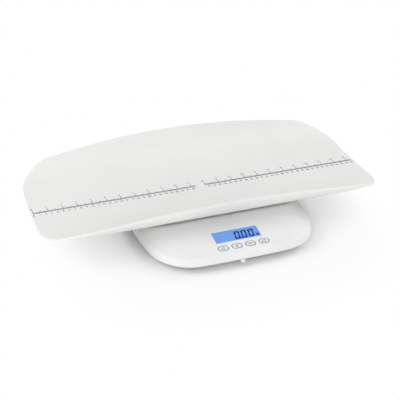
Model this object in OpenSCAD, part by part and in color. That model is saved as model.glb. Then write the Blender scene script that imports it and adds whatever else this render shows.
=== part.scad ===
// Digital baby weighing scale: a wide trough-shaped tray, lifted off by hand, on a low
// base with a sloping console that carries the display and four keys.
// +X runs along the tray to the right, +Y to the back and +Z up. The origin lies on the
// ground, under the middle of the overall length and depth.

/* [Tray] */
// Length of the tray
tray_length = 600; // [570:5:630]
// Width of the tray over its rims
tray_width = 300; // [292:1:308]
// Height of the rims above the tray floor, at mid length
tray_rise = 45.5; // [43:0.5:47]
// Wall of the tray
tray_wall = 3.5; // [3:0.25:4]
// Height of the tray floor above the ground
tray_height = 33; // [33:0.5:40]
// Radius of the shallow floor, across the tray
tray_floor_radius = 935; // [880:5:1000]
// Radius of the tray's long sides
tray_side_radius = 58.5; // [57:0.5:62]
// Radius of the arch that the rims make, seen from the front
tray_rim_radius = 1705; // [1600:5:1900]
// How much the plan draws in from mid length to each end
tray_taper = 21.5; // [17:0.5:25]
// Bow of each end, seen from above
tray_end_bow = 5; // [3:0.5:8]
// Radius of the corners, seen from above
tray_corner = 76; // [60:1:90]

/* [Tray studs] */
// Distance between the left and right studs
stud_pitch_x = 180; // [160:2:190]
// Distance between the front and back studs
stud_pitch_y = 110; // [100:2:116]
// Diameter of a stud under the tray
stud_d = 14; // [12:0.5:16]
// Wall of the rubber cap on a stud
cap_wall = 1.5; // [1:0.25:2]
// Thickness of the rubber under a stud
cap_floor = 3; // [2:0.25:3.5]
// Gap between the tray and the seat in the base
seat_gap = 2.5; // [2:0.25:3]

/* [Base] */
// Width of the base
base_width = 296; // [288:1:304]
// Depth of the base
base_depth = 300; // [292:1:308]
// How far the base stands out past the tray's front rim
base_reach = 64; // [61:0.5:66]
// Radius of the base's corners
base_corner = 72; // [62:1:80]
// Bow of the base's left and right sides
base_side_bow = 22; // [16:0.5:26]
// Bow of the base's front and back
base_front_bow = 5; // [4:0.2:8]
// Wall of the base covers
base_wall = 2.5; // [2.25:0.05:2.6]
// Height of the underside above the ground
base_clearance = 5; // [4.5:0.1:5.5]
// Height of the seam between the two covers
seam_height = 12.6; // [12.4:0.1:13.2]
// How far the underside draws in below the seam
base_undercut = 9; // [7:0.5:10]
// Radius of the top cover's upper edge, which is level all the way round
edge_radius = 3; // [2.8:0.1:4]
// Lean of the top cover's wall between the seam and the edge
wall_lean = 1.5; // [1:0.1:2]
// Width over which the top rises in from that edge
crown_width = 40; // [30:1:44]

/* [Console] */
// Slope of the console
console_tilt = 8; // [7.5:0.1:8.5]
// Height of the console at the front edge of the base
console_height = 24.5; // [24:0.1:25.5]
// Distance up the slope from the front edge to the display's middle
display_setback = 44.5; // [44:0.25:47]
// Length of the display window
window_length = 77.5; // [74:0.5:82]
// Width of the display window
window_width = 26.5; // [25:0.25:27.5]
// Thickness of the display window
window_thickness = 1.5; // [1.2:0.05:1.7]

/* [Keys] */
// Length of a key
key_length = 18; // [16:0.25:19.5]
// Width of a key
key_width = 11.8; // [10:0.1:12]
// Distance between the keys
key_pitch = 23.2; // [22.5:0.1:24]
// Distance down the slope from the display's middle to the keys
key_drop = 26.8; // [26.6:0.1:27.6]
// Sideways place of the four keys
key_shift = 2.4; // [0:0.1:2.6]
// Travel of a key
key_travel = 0.4; // [0.3:0.05:0.6]
// How far a key stands above the console
key_proud = 0.4; // [0.2:0.05:0.6]

/* [Electronics] */
// Length of the main board
board_length = 108; // [106:1:116]
// Width of the main board
board_width = 55; // [54:0.5:56]
// Thickness of the main board
board_thickness = 1.6; // [1.2:0.1:1.8]
// Depth of the main board's face below the console
board_depth = 6.5; // [6.4:0.05:6.8]
// Thickness of the display panel
lcd_thickness = 2; // [1.6:0.1:2.2]
// Thickness of the rubber mat under the keys
mat_thickness = 1; // [0.8:0.05:1.2]

/* [Feet] */
// Distance between the left and right feet
foot_pitch_x = 196; // [188:1:200]
// Distance between the front and back feet
foot_pitch_y = 196; // [188:1:200]
// Diameter of a foot
foot_d = 34; // [32:0.5:36]
// Thickness of a rubber sole
sole_thickness = 2.5; // [2:0.1:3]
// Side of a load cell
cell_side = 36; // [34:0.5:38]
// Thickness of a load cell
cell_thickness = 1.5; // [1.2:0.1:2]

/* [Batteries] */
// Diameter of a battery
battery_d = 14.2; // [13.6:0.1:14.4]
// Length of a battery
battery_length = 50.5; // [48:0.5:52]
// Distance between the batteries
battery_pitch = 14.9; // [14.7:0.05:15.1]
// Wall of the battery box
box_wall = 1.5; // [1.2:0.1:1.7]
// Thickness of the battery door
door_thickness = 2.2; // [2:0.05:2.25]

/* [Tray lock] */
// Travel of the lock slide
lock_travel = 5; // [4:0.25:5]
// How far the slide's thumb end stands out of the base when the tray is free
lock_reach = 5; // [5:0.25:6]
// Width of the thumb end
thumb_width = 6.4; // [5:0.2:8]
// Sideways place of the thumb end
thumb_x = -6; // [-8:0.5:-2]
// Distance from the tray's middle to the lock pin
lock_pin_setback = 80; // [76:1:84]

/* [Hidden] */
$fn = 72;

fit_gap = 0.3;                 // running gap between pieces of different bodies
snug = 0.2;                    // gap round a piece that is glued or laid in
eps = 0.01;
far = 400;

// The overall depth runs from the thumb end to the tray's back rim.
depth_all = lock_reach + base_reach + tray_width;
tray_y = (depth_all - tray_width) / 2;
base_front = -depth_all / 2 + lock_reach;
base_y = base_front + base_depth / 2;
base_back = base_front + base_depth;

// ---- Plan outlines -------------------------------------------------------------------

function polar(centre, radius, angle) =
    [centre[0] + radius * cos(angle), centre[1] + radius * sin(angle)];
function arc(centre, radius, from, to, steps) =
    [for (i = [0:steps]) polar(centre, radius, from + (to - from) * i / steps)];
function bearing(from, to) = atan2(to[1] - from[1], to[0] - from[0]);
function bow_radius(half, bow) = (half * half + bow * bow) / (2 * bow);
// The point at distance ra from a and rb from b, on the right of the line from a to b
function meet(a, ra, b, rb) =
    let (d = norm(b - a), m = (ra * ra - rb * rb + d * d) / (2 * d))
    let (h = sqrt(ra * ra - m * m), u = (b - a) / d)
    a + m * u + h * [u[1], -u[0]];

// A quarter of a rounded outline with bowed sides, from the front's middle to the right
// end's. inset draws the outline in.
function quarter(half_x, half_y, bow_y, bow_x, corner_r, inset) =
    let (side_r = bow_radius(half_x, bow_y), end_r = bow_radius(half_y, bow_x))
    let (side_c = [0, side_r - half_y], end_c = [half_x - end_r, 0])
    let (corner_c = meet(end_c, end_r - corner_r, side_c, side_r - corner_r))
    let (first = bearing(side_c, corner_c), last = bearing(end_c, corner_c))
    concat(
        arc(side_c, side_r - inset, -90, first, 6),
        arc(corner_c, corner_r - inset, first, last, 12),
        arc(end_c, end_r - inset, last, 0, 6)
    );
function flipped(points, x, y) =
    [for (i = [len(points) - 2:-1:1]) [x * points[i][0], y * points[i][1]]];
function all_quarters(points) =
    concat(
        points,
        flipped(points, 1, -1),
        [for (point = points) -point],
        flipped(points, -1, 1)
    );

module tray_plan() {
    polygon(all_quarters(quarter(
        tray_length / 2, tray_width / 2 + rim_spare, tray_taper, tray_end_bow,
        tray_corner, 0
    )));
}

module base_plan(inset = 0) {
    translate([0, base_y])
        polygon(all_quarters(quarter(
            base_width / 2, base_depth / 2, base_front_bow, base_side_bow, base_corner,
            inset
        )));
}

// ---- Trough of the tray --------------------------------------------------------------

// The long sides' arcs are centred at (±side_y, side_z) over the floor, and run on
// from the floor's arc with no kink. side_y makes the rims tray_width wide.
rim_spare = 2;
function side_z_at(y) =
    tray_floor_radius - sqrt(pow(tray_floor_radius - tray_side_radius, 2) - y * y);
function side_y_after(rounds) =
    let (outer = tray_side_radius + tray_wall)
    rounds == 0
    ? tray_width / 2 - outer
    : let (drop = side_z_at(side_y_after(rounds - 1)) - tray_rise)
      tray_width / 2 - sqrt(outer * outer - drop * drop);
side_y = side_y_after(6);
side_z = side_z_at(side_y);
trough_top = tray_rise + 40;

// Height over the tray floor of the surface that lies `grow` below the tray's inside
function trough_z(y, grow) =
    abs(y) < side_y
    ? tray_floor_radius - sqrt(pow(tray_floor_radius + grow, 2) - y * y)
    : side_z - sqrt(pow(tray_side_radius + grow, 2) - pow(abs(y) - side_y, 2));

module trough_2d(grow) {
    reach = tray_floor_radius + 60;
    flank = tray_floor_radius - tray_side_radius;
    spread = [side_y, side_z - tray_floor_radius] / flank * reach;
    half = side_y + tray_side_radius + grow;
    intersection() {
        translate([0, tray_floor_radius]) circle(tray_floor_radius + grow, $fn = 720);
        translate([0, tray_floor_radius])
            polygon([[0, 0], spread, [-spread[0], spread[1]]]);
        translate([-half, -far / 4]) square([2 * half, far / 4 + trough_top]);
    }
    for (side = [-1, 1])
        translate([side * side_y, side_z]) circle(tray_side_radius + grow, $fn = 360);
    translate([-half, side_z]) square([2 * half, trough_top - side_z]);
}

module trough(grow, length) {
    translate([-length / 2, tray_y, tray_height])
        rotate([90, 0, 90])
            linear_extrude(length) trough_2d(grow);
}

// ---- Base shells ---------------------------------------------------------------------

console_slope = tan(console_tilt);
// The upper edge lies where the console's front edge ends.
edge_z = console_height + (wall_lean + edge_radius) * console_slope;
// Behind the ridge the top falls gently to the back edge, under the tray.
ridge_y = tray_y - 120;
ridge_z = console_height + (ridge_y - base_front) * console_slope;
back_slope = -0.035;

module sheared(slope, pivot_y, pivot_z) {
    multmatrix([
        [1, 0, 0, 0],
        [0, 1, 0, 0],
        [0, slope, 1, pivot_z - pivot_y * slope],
        [0, 0, 0, 1],
    ])
        children();
}

// Block from the seam up to a level rounded edge, and on over a crown to a sloping top
// plane. `inner` draws it in.
module rounded_block(slope, pivot_y, pivot_z, inner, bottom) {
    steps = 4;
    radius = edge_radius - inner / 2;
    shoulder = inner + wall_lean;
    // Part of the rise, at the part of the crown's width that it takes
    rise_share = 0.65;
    width_share = 0.4;
    hull() {
        translate([0, 0, bottom]) linear_extrude(eps) base_plan(inner);
        for (i = [0:steps]) {
            turn = 90 * i / steps;
            translate([0, 0, edge_z - inner - radius * (1 - sin(turn)) - eps])
                linear_extrude(eps) base_plan(shoulder + radius * (1 - cos(turn)));
        }
        sheared(rise_share * slope, pivot_y,
            edge_z + rise_share * (pivot_z - edge_z) - inner - eps)
            linear_extrude(eps) base_plan(shoulder + radius + width_share * crown_width);
        sheared(slope, pivot_y, pivot_z - inner - eps)
            linear_extrude(eps) base_plan(shoulder + radius + crown_width);
    }
}

module top_block(inner, bottom) {
    intersection() {
        rounded_block(console_slope, ridge_y, ridge_z, inner, bottom);
        rounded_block(back_slope, ridge_y, ridge_z, inner, bottom);
    }
}

// On the console: X along the keys, Y up the slope, Z out of it, with the origin at the
// display's middle
module on_console() {
    translate([
        0,
        base_front + display_setback * cos(console_tilt),
        console_height + display_setback * sin(console_tilt),
    ])
        rotate([console_tilt, 0, 0])
            children();
}

module slot_2d(length, width) {
    for (side = [-1, 1])
        translate([side * (length - width) / 2, 0]) circle(d = width);
    square([length - width, width], center = true);
}

module block(size, centre) {
    translate([centre[0] - size[0] / 2, centre[1] - size[1] / 2, centre[2]]) cube(size);
}

// ---- Shared places -------------------------------------------------------------------

floor_z = base_clearance + base_wall;      // inside of the bottom cover
seat_z = tray_height - tray_wall - seat_gap;

stud_places = [
    for (y = [-1, 1], x = [-1, 1]) [x * stud_pitch_x / 2, tray_y + y * stud_pitch_y / 2],
];
cap_r = stud_d / 2 + cap_wall;
well_r = cap_r + 0.5;
well_floor_z = 22.5;
stud_z = well_floor_z + cap_floor;
cap_height = cap_floor + 3.5;
well_wall = 2.2;

foot_places = [
    for (y = [-1, 1], x = [-1, 1])
        [x * foot_pitch_x / 2, base_y + y * foot_pitch_y / 2],
];
foot_hole_r = foot_d / 2 + 1;
foot_post_d = 12;
cell_z = floor_z + 4.9;

cover_screw_places = [
    [-64, base_front + 19], [64, base_front + 19],
    [-128, base_y + 34], [128, base_y + 34],
    [-62, base_back - 22], [62, base_back - 22],
];
screw_d = 3;
pilot_d = 2.5;
boss_d = 8;
head_d = 5.6;
head_height = 2;
cover_screw_length = 12;

board_y = -8.5;                            // the board's middle, up the slope
board_hole_x = board_length / 2 - 4;
board_hole_up = 14;
board_hole_down = -31;
board_screw_d = 2.2;
board_boss_d = 6;
window_ledge = 2.7;

under_console = base_wall + 0.12;          // depth of what lies against its inside
lcd_length = window_length - 2 * window_ledge + 1;
lcd_width = window_width - 2 * window_ledge + 1;
holder_wall = 3.4;

key_flange = 1.1;
key_flange_thickness = 1;
key_dome_d = 8;
key_x = [for (i = [0:3]) key_shift + (i - 1.5) * key_pitch];

battery_y = base_back - 9 - 38;
battery_z = base_clearance + door_thickness + fit_gap + battery_d / 2;
battery_rows = [for (i = [0:3]) battery_y + (i - 1.5) * battery_pitch];
contact_thickness = 0.5;
box_half_x = battery_length / 2 + 1.5;     // inside of the box
box_half_y = 2 * battery_pitch;
box_roof_z = battery_z + battery_d / 2 + 0.4;
door_half_x = box_half_x + box_wall;
door_front = battery_y - box_half_y;
door_back = base_back - base_undercut;
door_lip = 0.9;                            // the bottom cover's lip under the door
door_tongue = 2;
box_flange = 4.5;

lock_pin_y = tray_y - lock_pin_setback;
lock_bar_z = floor_z + fit_gap;
lock_bar_height = 3;
fork_z = 12.2;
fork_height = 2;
pin_head_d = 11;
pin_neck_d = 6;
pin_collar_d = 12;
pin_top_z = 16;
lock_hole_d = 14;
guide_y = base_front + 62;
guide_depth = 12;
guide_post = 8;
bar_width = 10;

// ---- Base covers ---------------------------------------------------------------------

module cover_screw_bosses() {
    for (place = cover_screw_places)
        translate([place[0], place[1], seam_height]) cylinder(d = boss_d, h = far / 4);
}

module stud_well_bodies() {
    for (place = stud_places)
        translate([place[0], place[1], well_floor_z - well_wall])
            cylinder(r = well_r + well_wall, h = far / 4);
    translate([0, lock_pin_y, pin_top_z + 1])
        cylinder(d = lock_hole_d + 2 * well_wall, h = far / 4);
}

module stiffening_ribs() {
    rib = 2;
    for (x = [-60, 60])
        block([rib, base_depth - 110, far / 4], [x, base_y + 20, 17]);
    block([220, rib, far / 4], [0, tray_y - 105, 20]);
}

module board_bosses() {
    on_console()
        for (x = [-1, 1], y = [board_hole_down, board_hole_up])
            translate([x * board_hole_x, y, -board_depth])
                cylinder(d = board_boss_d, h = board_depth);
}

module base_top_cover() {
    key_hole = [key_length + 2 * fit_gap, key_width + 2 * fit_gap];
    color("whitesmoke")
        difference() {
            top_block(0, seam_height);
            trough(tray_wall + seat_gap, far);
            difference() {
                top_block(base_wall, seam_height - eps);
                trough(tray_wall + seat_gap + base_wall, far);
                cover_screw_bosses();
                stud_well_bodies();
                stiffening_ribs();
                board_bosses();
            }
            for (place = stud_places)
                translate([place[0], place[1], well_floor_z])
                    cylinder(r = well_r, h = far / 4);
            translate([0, lock_pin_y, 0]) cylinder(d = lock_hole_d, h = far / 4);
            for (place = cover_screw_places)
                translate([place[0], place[1], seam_height - eps])
                    cylinder(d = pilot_d, h = cover_screw_length - 3);
            on_console() {
                block(
                    [window_length + 2 * snug, window_width + 2 * snug, far / 4],
                    [0, 0, -window_thickness]
                );
                block(
                    [window_length - 2 * window_ledge, window_width - 2 * window_ledge, 9],
                    [0, 0, -8]
                );
                for (x = key_x)
                    translate([x, -key_drop, -board_depth + 1])
                        linear_extrude(far / 4) slot_2d(key_hole[0], key_hole[1]);
                for (x = [-1, 1], y = [board_hole_down, board_hole_up])
                    translate([x * board_hole_x, y, -board_depth - eps])
                        cylinder(d = board_screw_d - 0.4, h = 5);
            }
        }
}

module bottom_shell(inner, bottom) {
    hull() {
        translate([0, 0, seam_height - eps]) linear_extrude(eps) base_plan(inner);
        translate([0, 0, bottom]) linear_extrude(eps) base_plan(base_undercut + inner);
    }
}

module base_bottom_cover() {
    lip_inset = base_wall + 0.6;
    lip_wall = 1.2;
    cell_ring_d = cell_side + 7;
    notch = thumb_width + 2 * fit_gap;
    color("gainsboro")
        difference() {
            union() {
                difference() {
                    bottom_shell(0, base_clearance);
                    translate([0, 0, eps]) bottom_shell(base_wall, floor_z - eps);
                }
                // Locating lip inside the top cover's wall
                translate([0, 0, seam_height - 2])
                    linear_extrude(3)
                        difference() {
                            base_plan(lip_inset);
                            base_plan(lip_inset + lip_wall);
                        }
                for (place = cover_screw_places)
                    translate([place[0], place[1], base_clearance])
                        cylinder(d = boss_d, h = seam_height - base_clearance);
                // Rings that the load cells lie on
                for (place = foot_places)
                    translate([place[0], place[1], base_clearance])
                        cylinder(d = cell_ring_d, h = cell_z - base_clearance);
            }
            for (place = foot_places) {
                translate([place[0], place[1], 0]) cylinder(r = foot_hole_r, h = 8.5);
                translate([place[0], place[1], 0])
                    cylinder(d = cell_side - 8, h = far / 4);
            }
            for (place = cover_screw_places) {
                translate([place[0], place[1], 0])
                    cylinder(d = screw_d + 0.4, h = far / 4);
                translate([place[0], place[1], 0])
                    cylinder(d = head_d + 0.8, h = base_clearance + head_height + 0.5);
            }
            // Way for the battery door, open at the back
            block(
                [2 * (door_half_x + fit_gap), far, far / 4],
                [0, door_front - fit_gap + far / 2, -far / 4 + floor_z + eps]
            );
            block(
                [2 * (door_half_x + door_tongue + fit_gap), far, floor_z - base_clearance],
                [0, door_front - fit_gap + far / 2, base_clearance + door_lip]
            );
            // Notch for the lock slide, closed above by the top cover
            block([notch, 40, far / 4], [thumb_x, base_front + 5, floor_z]);
            for (x = guide_screw_x)
                translate([x, guide_y, base_clearance + 0.8]) cylinder(d = 1.8, h = 9);
        }
}

// ---- Display, board and keys ---------------------------------------------------------

module display_window() {
    color("lightskyblue", 0.6)
        on_console()
            block([window_length, window_width, window_thickness],
                [0, 0, -window_thickness]);
}

module lcd_panel() {
    color("cornflowerblue")
        on_console()
            block([lcd_length, lcd_width, lcd_thickness],
                [0, 0, -under_console - lcd_thickness]);
}

module lcd_backlight() {
    height = board_depth - under_console - lcd_thickness;
    color("white")
        on_console() {
            block([lcd_length, lcd_width, height], [0, 0, -board_depth]);
            // Light bar at the left end
            block([3, lcd_width - 6, height - 0.4],
                [-lcd_length / 2 - 1.5, 0, -board_depth]);
        }
}

module display_holder() {
    inner = [lcd_length + 2 * snug + 6, lcd_width + 2 * snug];
    height = board_depth - under_console;
    color("dimgray")
        on_console()
            difference() {
                block([inner[0] + 2, inner[1] + 2 * holder_wall, height],
                    [0, 0, -board_depth]);
                block([inner[0], inner[1], far / 4], [0, 0, -board_depth - 1]);
            }
}

module main_board() {
    color("seagreen")
        on_console()
            difference() {
                block([board_length, board_width, board_thickness],
                    [0, board_y, -board_depth - board_thickness]);
                for (x = [-1, 1], y = [board_hole_down, board_hole_up])
                    translate([x * board_hole_x, y, -far / 8])
                        cylinder(d = board_screw_d + 0.3, h = far / 4);
            }
}

module board_parts() {
    under = -board_depth - board_thickness;
    color("black")
        on_console() {
            block([12, 12, 1.4], [10, -6, under - 1.4]);
            block([8, 6, 1.4], [-14, 4, under - 1.4]);
            block([6, 5, 1.4], [-14, -8, under - 1.4]);
            block([16, 5, 3.5], [40, -20, under - 3.5]);
            block([8, 5, 3.5], [34, 8, under - 3.5]);
            translate([24, -4, under - 4]) cylinder(d = 6, h = 4);
        }
}

module buzzer() {
    color("black")
        on_console()
            translate([-38, -22, -board_depth - board_thickness - 3.5])
                difference() {
                    cylinder(d = 12, h = 3.5);
                    translate([0, 0, -eps]) cylinder(d = 2.5, h = 1);
                }
}

module key_mat() {
    length = 3 * key_pitch + key_length;
    dome = board_depth - base_wall - fit_gap - key_flange_thickness - key_travel - 0.1;
    color("lightgray")
        on_console() {
            block([length, key_width + 2, mat_thickness], [key_shift, -key_drop, -board_depth]);
            for (x = key_x)
                translate([x, -key_drop, -board_depth + mat_thickness - eps])
                    cylinder(d = key_dome_d, h = dome - mat_thickness + eps);
        }
}

// A key with a flange under the console that keeps it in
module key(index) {
    flange_z = -base_wall - fit_gap - key_flange_thickness;
    on_console()
        translate([key_x[index], -key_drop, flange_z]) {
            linear_extrude(key_flange_thickness)
                slot_2d(key_length + 2 * key_flange, key_width + 2 * key_flange);
            linear_extrude(key_proud - flange_z) slot_2d(key_length, key_width);
        }
}

module key_power() { color("white") key(0); }
module key_hold() { color("white") key(1); }
module key_tare() { color("white") key(2); }
module key_unit() { color("white") key(3); }

// ---- Load cells and feet -------------------------------------------------------------

// A steel plate slit into an outer frame and a middle tongue, with its gauge
module load_cell(place) {
    slit = 2.5;
    tongue = 14;
    color("silver")
        translate([place[0], place[1], cell_z]) {
            difference() {
                block([cell_side, cell_side, cell_thickness], [0, 0, 0]);
                for (side = [-1, 1])
                    block([slit, cell_side - 14, 9],
                        [side * (tongue + slit) / 2, 2, -1]);
                block([tongue + 2 * slit, slit, 9], [0, cell_side / 2 - 5 - slit / 2, -1]);
            }
            block([8, 6, 0.8], [0, -10, cell_thickness]);
        }
}

// A plastic foot whose post bears on the tongue of its load cell
module foot(place) {
    color("lightgray")
        translate([place[0], place[1], 0]) {
            translate([0, 0, sole_thickness]) cylinder(d = foot_d, h = 5);
            translate([0, 0, sole_thickness]) cylinder(d = foot_post_d,
                h = cell_z - sole_thickness);
        }
}

module sole(place) {
    groove = 1;
    color("dimgray")
        translate([place[0], place[1], 0])
            difference() {
                cylinder(d = foot_d - 2, h = sole_thickness);
                translate([0, 0, -eps])
                    difference() {
                        cylinder(d = foot_d - 10, h = groove);
                        translate([0, 0, -eps]) cylinder(d = foot_d - 14, h = groove + 1);
                    }
            }
}

module load_cell_front_left() { load_cell(foot_places[0]); }
module load_cell_front_right() { load_cell(foot_places[1]); }
module load_cell_back_left() { load_cell(foot_places[2]); }
module load_cell_back_right() { load_cell(foot_places[3]); }
module foot_front_left() { foot(foot_places[0]); }
module foot_front_right() { foot(foot_places[1]); }
module foot_back_left() { foot(foot_places[2]); }
module foot_back_right() { foot(foot_places[3]); }
module sole_front_left() { sole(foot_places[0]); }
module sole_front_right() { sole(foot_places[1]); }
module sole_back_left() { sole(foot_places[2]); }
module sole_back_right() { sole(foot_places[3]); }

// ---- Batteries -----------------------------------------------------------------------

module battery_box() {
    outer = [2 * (box_half_x + box_wall), 2 * (box_half_y + box_wall)];
    color("dimgray")
        difference() {
            union() {
                block([outer[0], outer[1], box_roof_z + box_wall - floor_z],
                    [0, battery_y, floor_z]);
                block([outer[0] + 2 * box_flange, outer[1], 1.5],
                    [0, battery_y, floor_z]);
            }
            block([2 * box_half_x, 2 * box_half_y, box_roof_z - floor_z + 9],
                [0, battery_y, floor_z - 9]);
        }
}

// A cell with its raised contact; every second one points the other way
module battery(index) {
    way = index % 2 == 0 ? 1 : -1;
    nub = 1.2;
    color("darkorange")
        translate([-way * battery_length / 2, battery_rows[index], battery_z])
            rotate([0, way * 90, 0]) {
                cylinder(d = battery_d, h = battery_length - nub);
                cylinder(d = 5.5, h = battery_length);
            }
}

module battery_1() { battery(0); }
module battery_2() { battery(1); }
module battery_3() { battery(2); }
module battery_4() { battery(3); }

// Flat plates at the raised ends and bowed leaf springs at the flat ends
module battery_contacts() {
    color("gold")
        for (i = [0:3]) {
            way = i % 2 == 0 ? 1 : -1;
            block([box_half_x - battery_length / 2, 9, 9],
                [way * (box_half_x + battery_length / 2) / 2, battery_rows[i],
                    battery_z - 4.5]);
        }
}

module battery_springs() {
    depth = box_half_x - battery_length / 2;
    color("silver")
        for (i = [0:3]) {
            way = i % 2 == 0 ? 1 : -1;
            translate([-way * box_half_x, battery_rows[i], battery_z]) {
                block([contact_thickness, 9, 10], [way * contact_thickness / 2, 0, -5]);
                intersection() {
                    translate([way * (depth - 6), 0, 0])
                        rotate([90, 0, 0])
                            difference() {
                                cylinder(r = 6, h = 5, center = true);
                                cylinder(r = 6 - contact_thickness, h = 6, center = true);
                            }
                    block([depth, 9, 9], [way * depth / 2, 0, -4.5]);
                }
            }
        }
}

module battery_door() {
    length = door_back - door_front;
    middle = (door_back + door_front) / 2;
    color("lightgray")
        difference() {
            union() {
                block([2 * door_half_x, length, door_thickness],
                    [0, middle, base_clearance]);
                block(
                    [2 * (door_half_x + door_tongue), length - 12,
                        door_thickness - door_lip - fit_gap],
                    [0, middle - 6, base_clearance + door_lip + fit_gap]
                );
            }
            // Thumb grooves
            for (i = [0:4])
                block([24, 1.2, 1.6], [0, door_back - 8 - 2.4 * i, base_clearance - 1]);
        }
}

// ---- Tray lock -----------------------------------------------------------------------

guide_screw_x = [
    thumb_x - bar_width / 2 - guide_post / 2 - fit_gap,
    thumb_x + bar_width / 2 + guide_post / 2 + fit_gap,
];

// Fork that slides behind the head of the pin under the tray. Here it is drawn forward
// and the tray is free.
module lock_slide() {
    thumb_height = 3;
    thumb_z = seam_height - fit_gap - thumb_height;
    fork_width = 20;
    fork_back = lock_pin_y - pin_head_d / 2 - fit_gap - 0.2;
    fork_front = fork_back - 16;
    color("white") {
        hull() {
            translate([thumb_x, base_front - lock_reach + thumb_width / 2, thumb_z])
                cylinder(d = thumb_width, h = thumb_height);
            block([thumb_width, 1, thumb_height], [thumb_x, base_front - 0.5, thumb_z]);
        }
        block([thumb_width, 24, lock_bar_height], [thumb_x, base_front + 11, lock_bar_z]);
        block(
            [bar_width, fork_front + 6 - base_front - 20, lock_bar_height],
            [thumb_x, (fork_front + 6 + base_front + 20) / 2, lock_bar_z]
        );
        block([bar_width, 6, fork_z + fork_height - lock_bar_z],
            [thumb_x, fork_front + 3, lock_bar_z]);
        difference() {
            block([fork_width, 16, fork_height], [0, fork_back - 8, fork_z]);
            block([pin_neck_d + 1, 11, 9], [0, fork_back - 5.5 + 1, fork_z - 1]);
        }
    }
}

// Strap over the slide, screwed to the bottom cover
module lock_guide() {
    inner = [bar_width + 2 * fit_gap, lock_bar_height + 2 * fit_gap];
    outer = inner[0] + 2 * guide_post;
    color("lightgray")
        difference() {
            block([outer, guide_depth, inner[1] + 1.5], [thumb_x, guide_y, floor_z]);
            block([inner[0], far, inner[1]], [thumb_x, guide_y, floor_z - eps]);
            for (x = guide_screw_x)
                translate([x, guide_y, 0]) cylinder(d = 2.5, h = far / 4);
        }
}

module lock_pin() {
    color("silver")
        translate([0, lock_pin_y, 0]) {
            translate([0, 0, fork_z - fit_gap - 2.6]) cylinder(d = pin_head_d, h = 2.6);
            translate([0, 0, fork_z - fit_gap - eps])
                cylinder(d = pin_neck_d, h = pin_top_z - fork_z + fit_gap + 2 * eps);
            translate([0, 0, pin_top_z]) cylinder(d = 4, h = 10);
        }
}

// ---- Screws and leads ----------------------------------------------------------------

module screw(diameter, length, cap_d, cap_height) {
    difference() {
        union() {
            cylinder(d = cap_d, h = cap_height);
            cylinder(d = diameter, h = length);
        }
        translate([0, 0, -eps]) cylinder(d = cap_d / 2, h = cap_height * 0.6, $fn = 6);
    }
}

module cover_screws() {
    color("silver")
        for (place = cover_screw_places)
            translate([place[0], place[1], base_clearance + 0.5])
                screw(pilot_d, cover_screw_length + 3, head_d, head_height);
}

module board_screws() {
    length = 5;
    color("silver")
        on_console()
            for (x = [-1, 1], y = [board_hole_down, board_hole_up])
                translate([x * board_hole_x, y, -board_depth - board_thickness - 1.3])
                    screw(board_screw_d - 0.4, length, 3.8, 1.3);
}

module guide_screws() {
    top = floor_z + lock_bar_height + 2 * fit_gap + 1.5;
    color("silver")
        for (x = guide_screw_x)
            translate([x, guide_y, top + 1.2])
                rotate([180, 0, 0]) screw(1.8, 8, 4, 1.2);
}

// A lead laid along straight stretches, with a slightly fuller bend at each turn
module lead(points, diameter) {
    for (i = [0:len(points) - 2]) {
        step = points[i + 1] - points[i];
        length = norm(step);
        translate(points[i])
            rotate([0, acos(step[2] / length), atan2(step[1], step[0])])
                cylinder(d = diameter, h = length, $fn = 16);
    }
    for (i = [1:len(points) - 2])
        translate(points[i]) sphere(d = diameter * 1.08, $fn = 16);
}

lead_d = 1.6;
lead_rest_z = floor_z + lead_d / 2;
function board_under(y) =
    console_height + (y - base_front) * console_slope
    - (board_depth + board_thickness) / cos(console_tilt);

// Each load cell's lead crosses its ring, drops to the floor and rises to the board.
module cell_lead(place, near) {
    side = sign(place[0]);
    gauge = [place[0], place[1] - 10, cell_z + cell_thickness + 0.8 + lead_d / 2];
    over = [side * (foot_pitch_x / 2 - cell_side / 2 - 8), gauge[1], gauge[2]];
    down = [over[0] - side * 8, gauge[1], lead_rest_z];
    lead(
        [gauge, over, down, [side * near[0], near[1], lead_rest_z],
            [side * near[0], near[1], board_under(near[1])]],
        lead_d
    );
}

module cell_leads() {
    front_plug = [board_length / 2 - 12, base_front + display_setback];
    back_plug = [board_length / 2 - 8, base_front + display_setback + 12];
    color("black") {
        for (i = [0:1]) cell_lead(foot_places[i], front_plug);
        for (i = [2:3]) cell_lead(foot_places[i], back_plug);
    }
}

module battery_lead() {
    start = [box_half_x + box_wall, battery_y - 20, floor_z + 1.5 + lead_d / 2];
    aside = start[0] + 14;
    plug = [key_pitch, base_front + display_setback + 13];
    color("firebrick")
        lead(
            [start, [aside, start[1], start[2]], [aside, base_y, lead_rest_z],
                [plug[0], plug[1], lead_rest_z], [plug[0], plug[1], board_under(plug[1])]],
            lead_d
        );
}

// ---- Tray ----------------------------------------------------------------------------

module tray() {
    rim_z = tray_height + tray_rise - tray_rim_radius;
    color("white") {
        difference() {
            intersection() {
                trough(tray_wall, tray_length);
                translate([0, tray_y, 0]) linear_extrude(far / 2) tray_plan();
                translate([0, tray_y, rim_z])
                    rotate([90, 0, 0])
                        cylinder(r = tray_rim_radius, h = tray_width + 20, center = true,
                            $fn = 720);
            }
            trough(0, tray_length + 2);
        }
        for (place = stud_places)
            translate([place[0], place[1], stud_z])
                cylinder(
                    d = stud_d,
                    h = tray_height + trough_z(place[1] - tray_y, 1) - stud_z
                );
        difference() {
            translate([0, lock_pin_y, pin_top_z])
                cylinder(
                    d = pin_collar_d,
                    h = tray_height + trough_z(lock_pin_setback, 1) - pin_top_z
                );
            translate([0, lock_pin_y, pin_top_z - eps]) cylinder(d = 4, h = 10);
        }
    }
}

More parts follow.
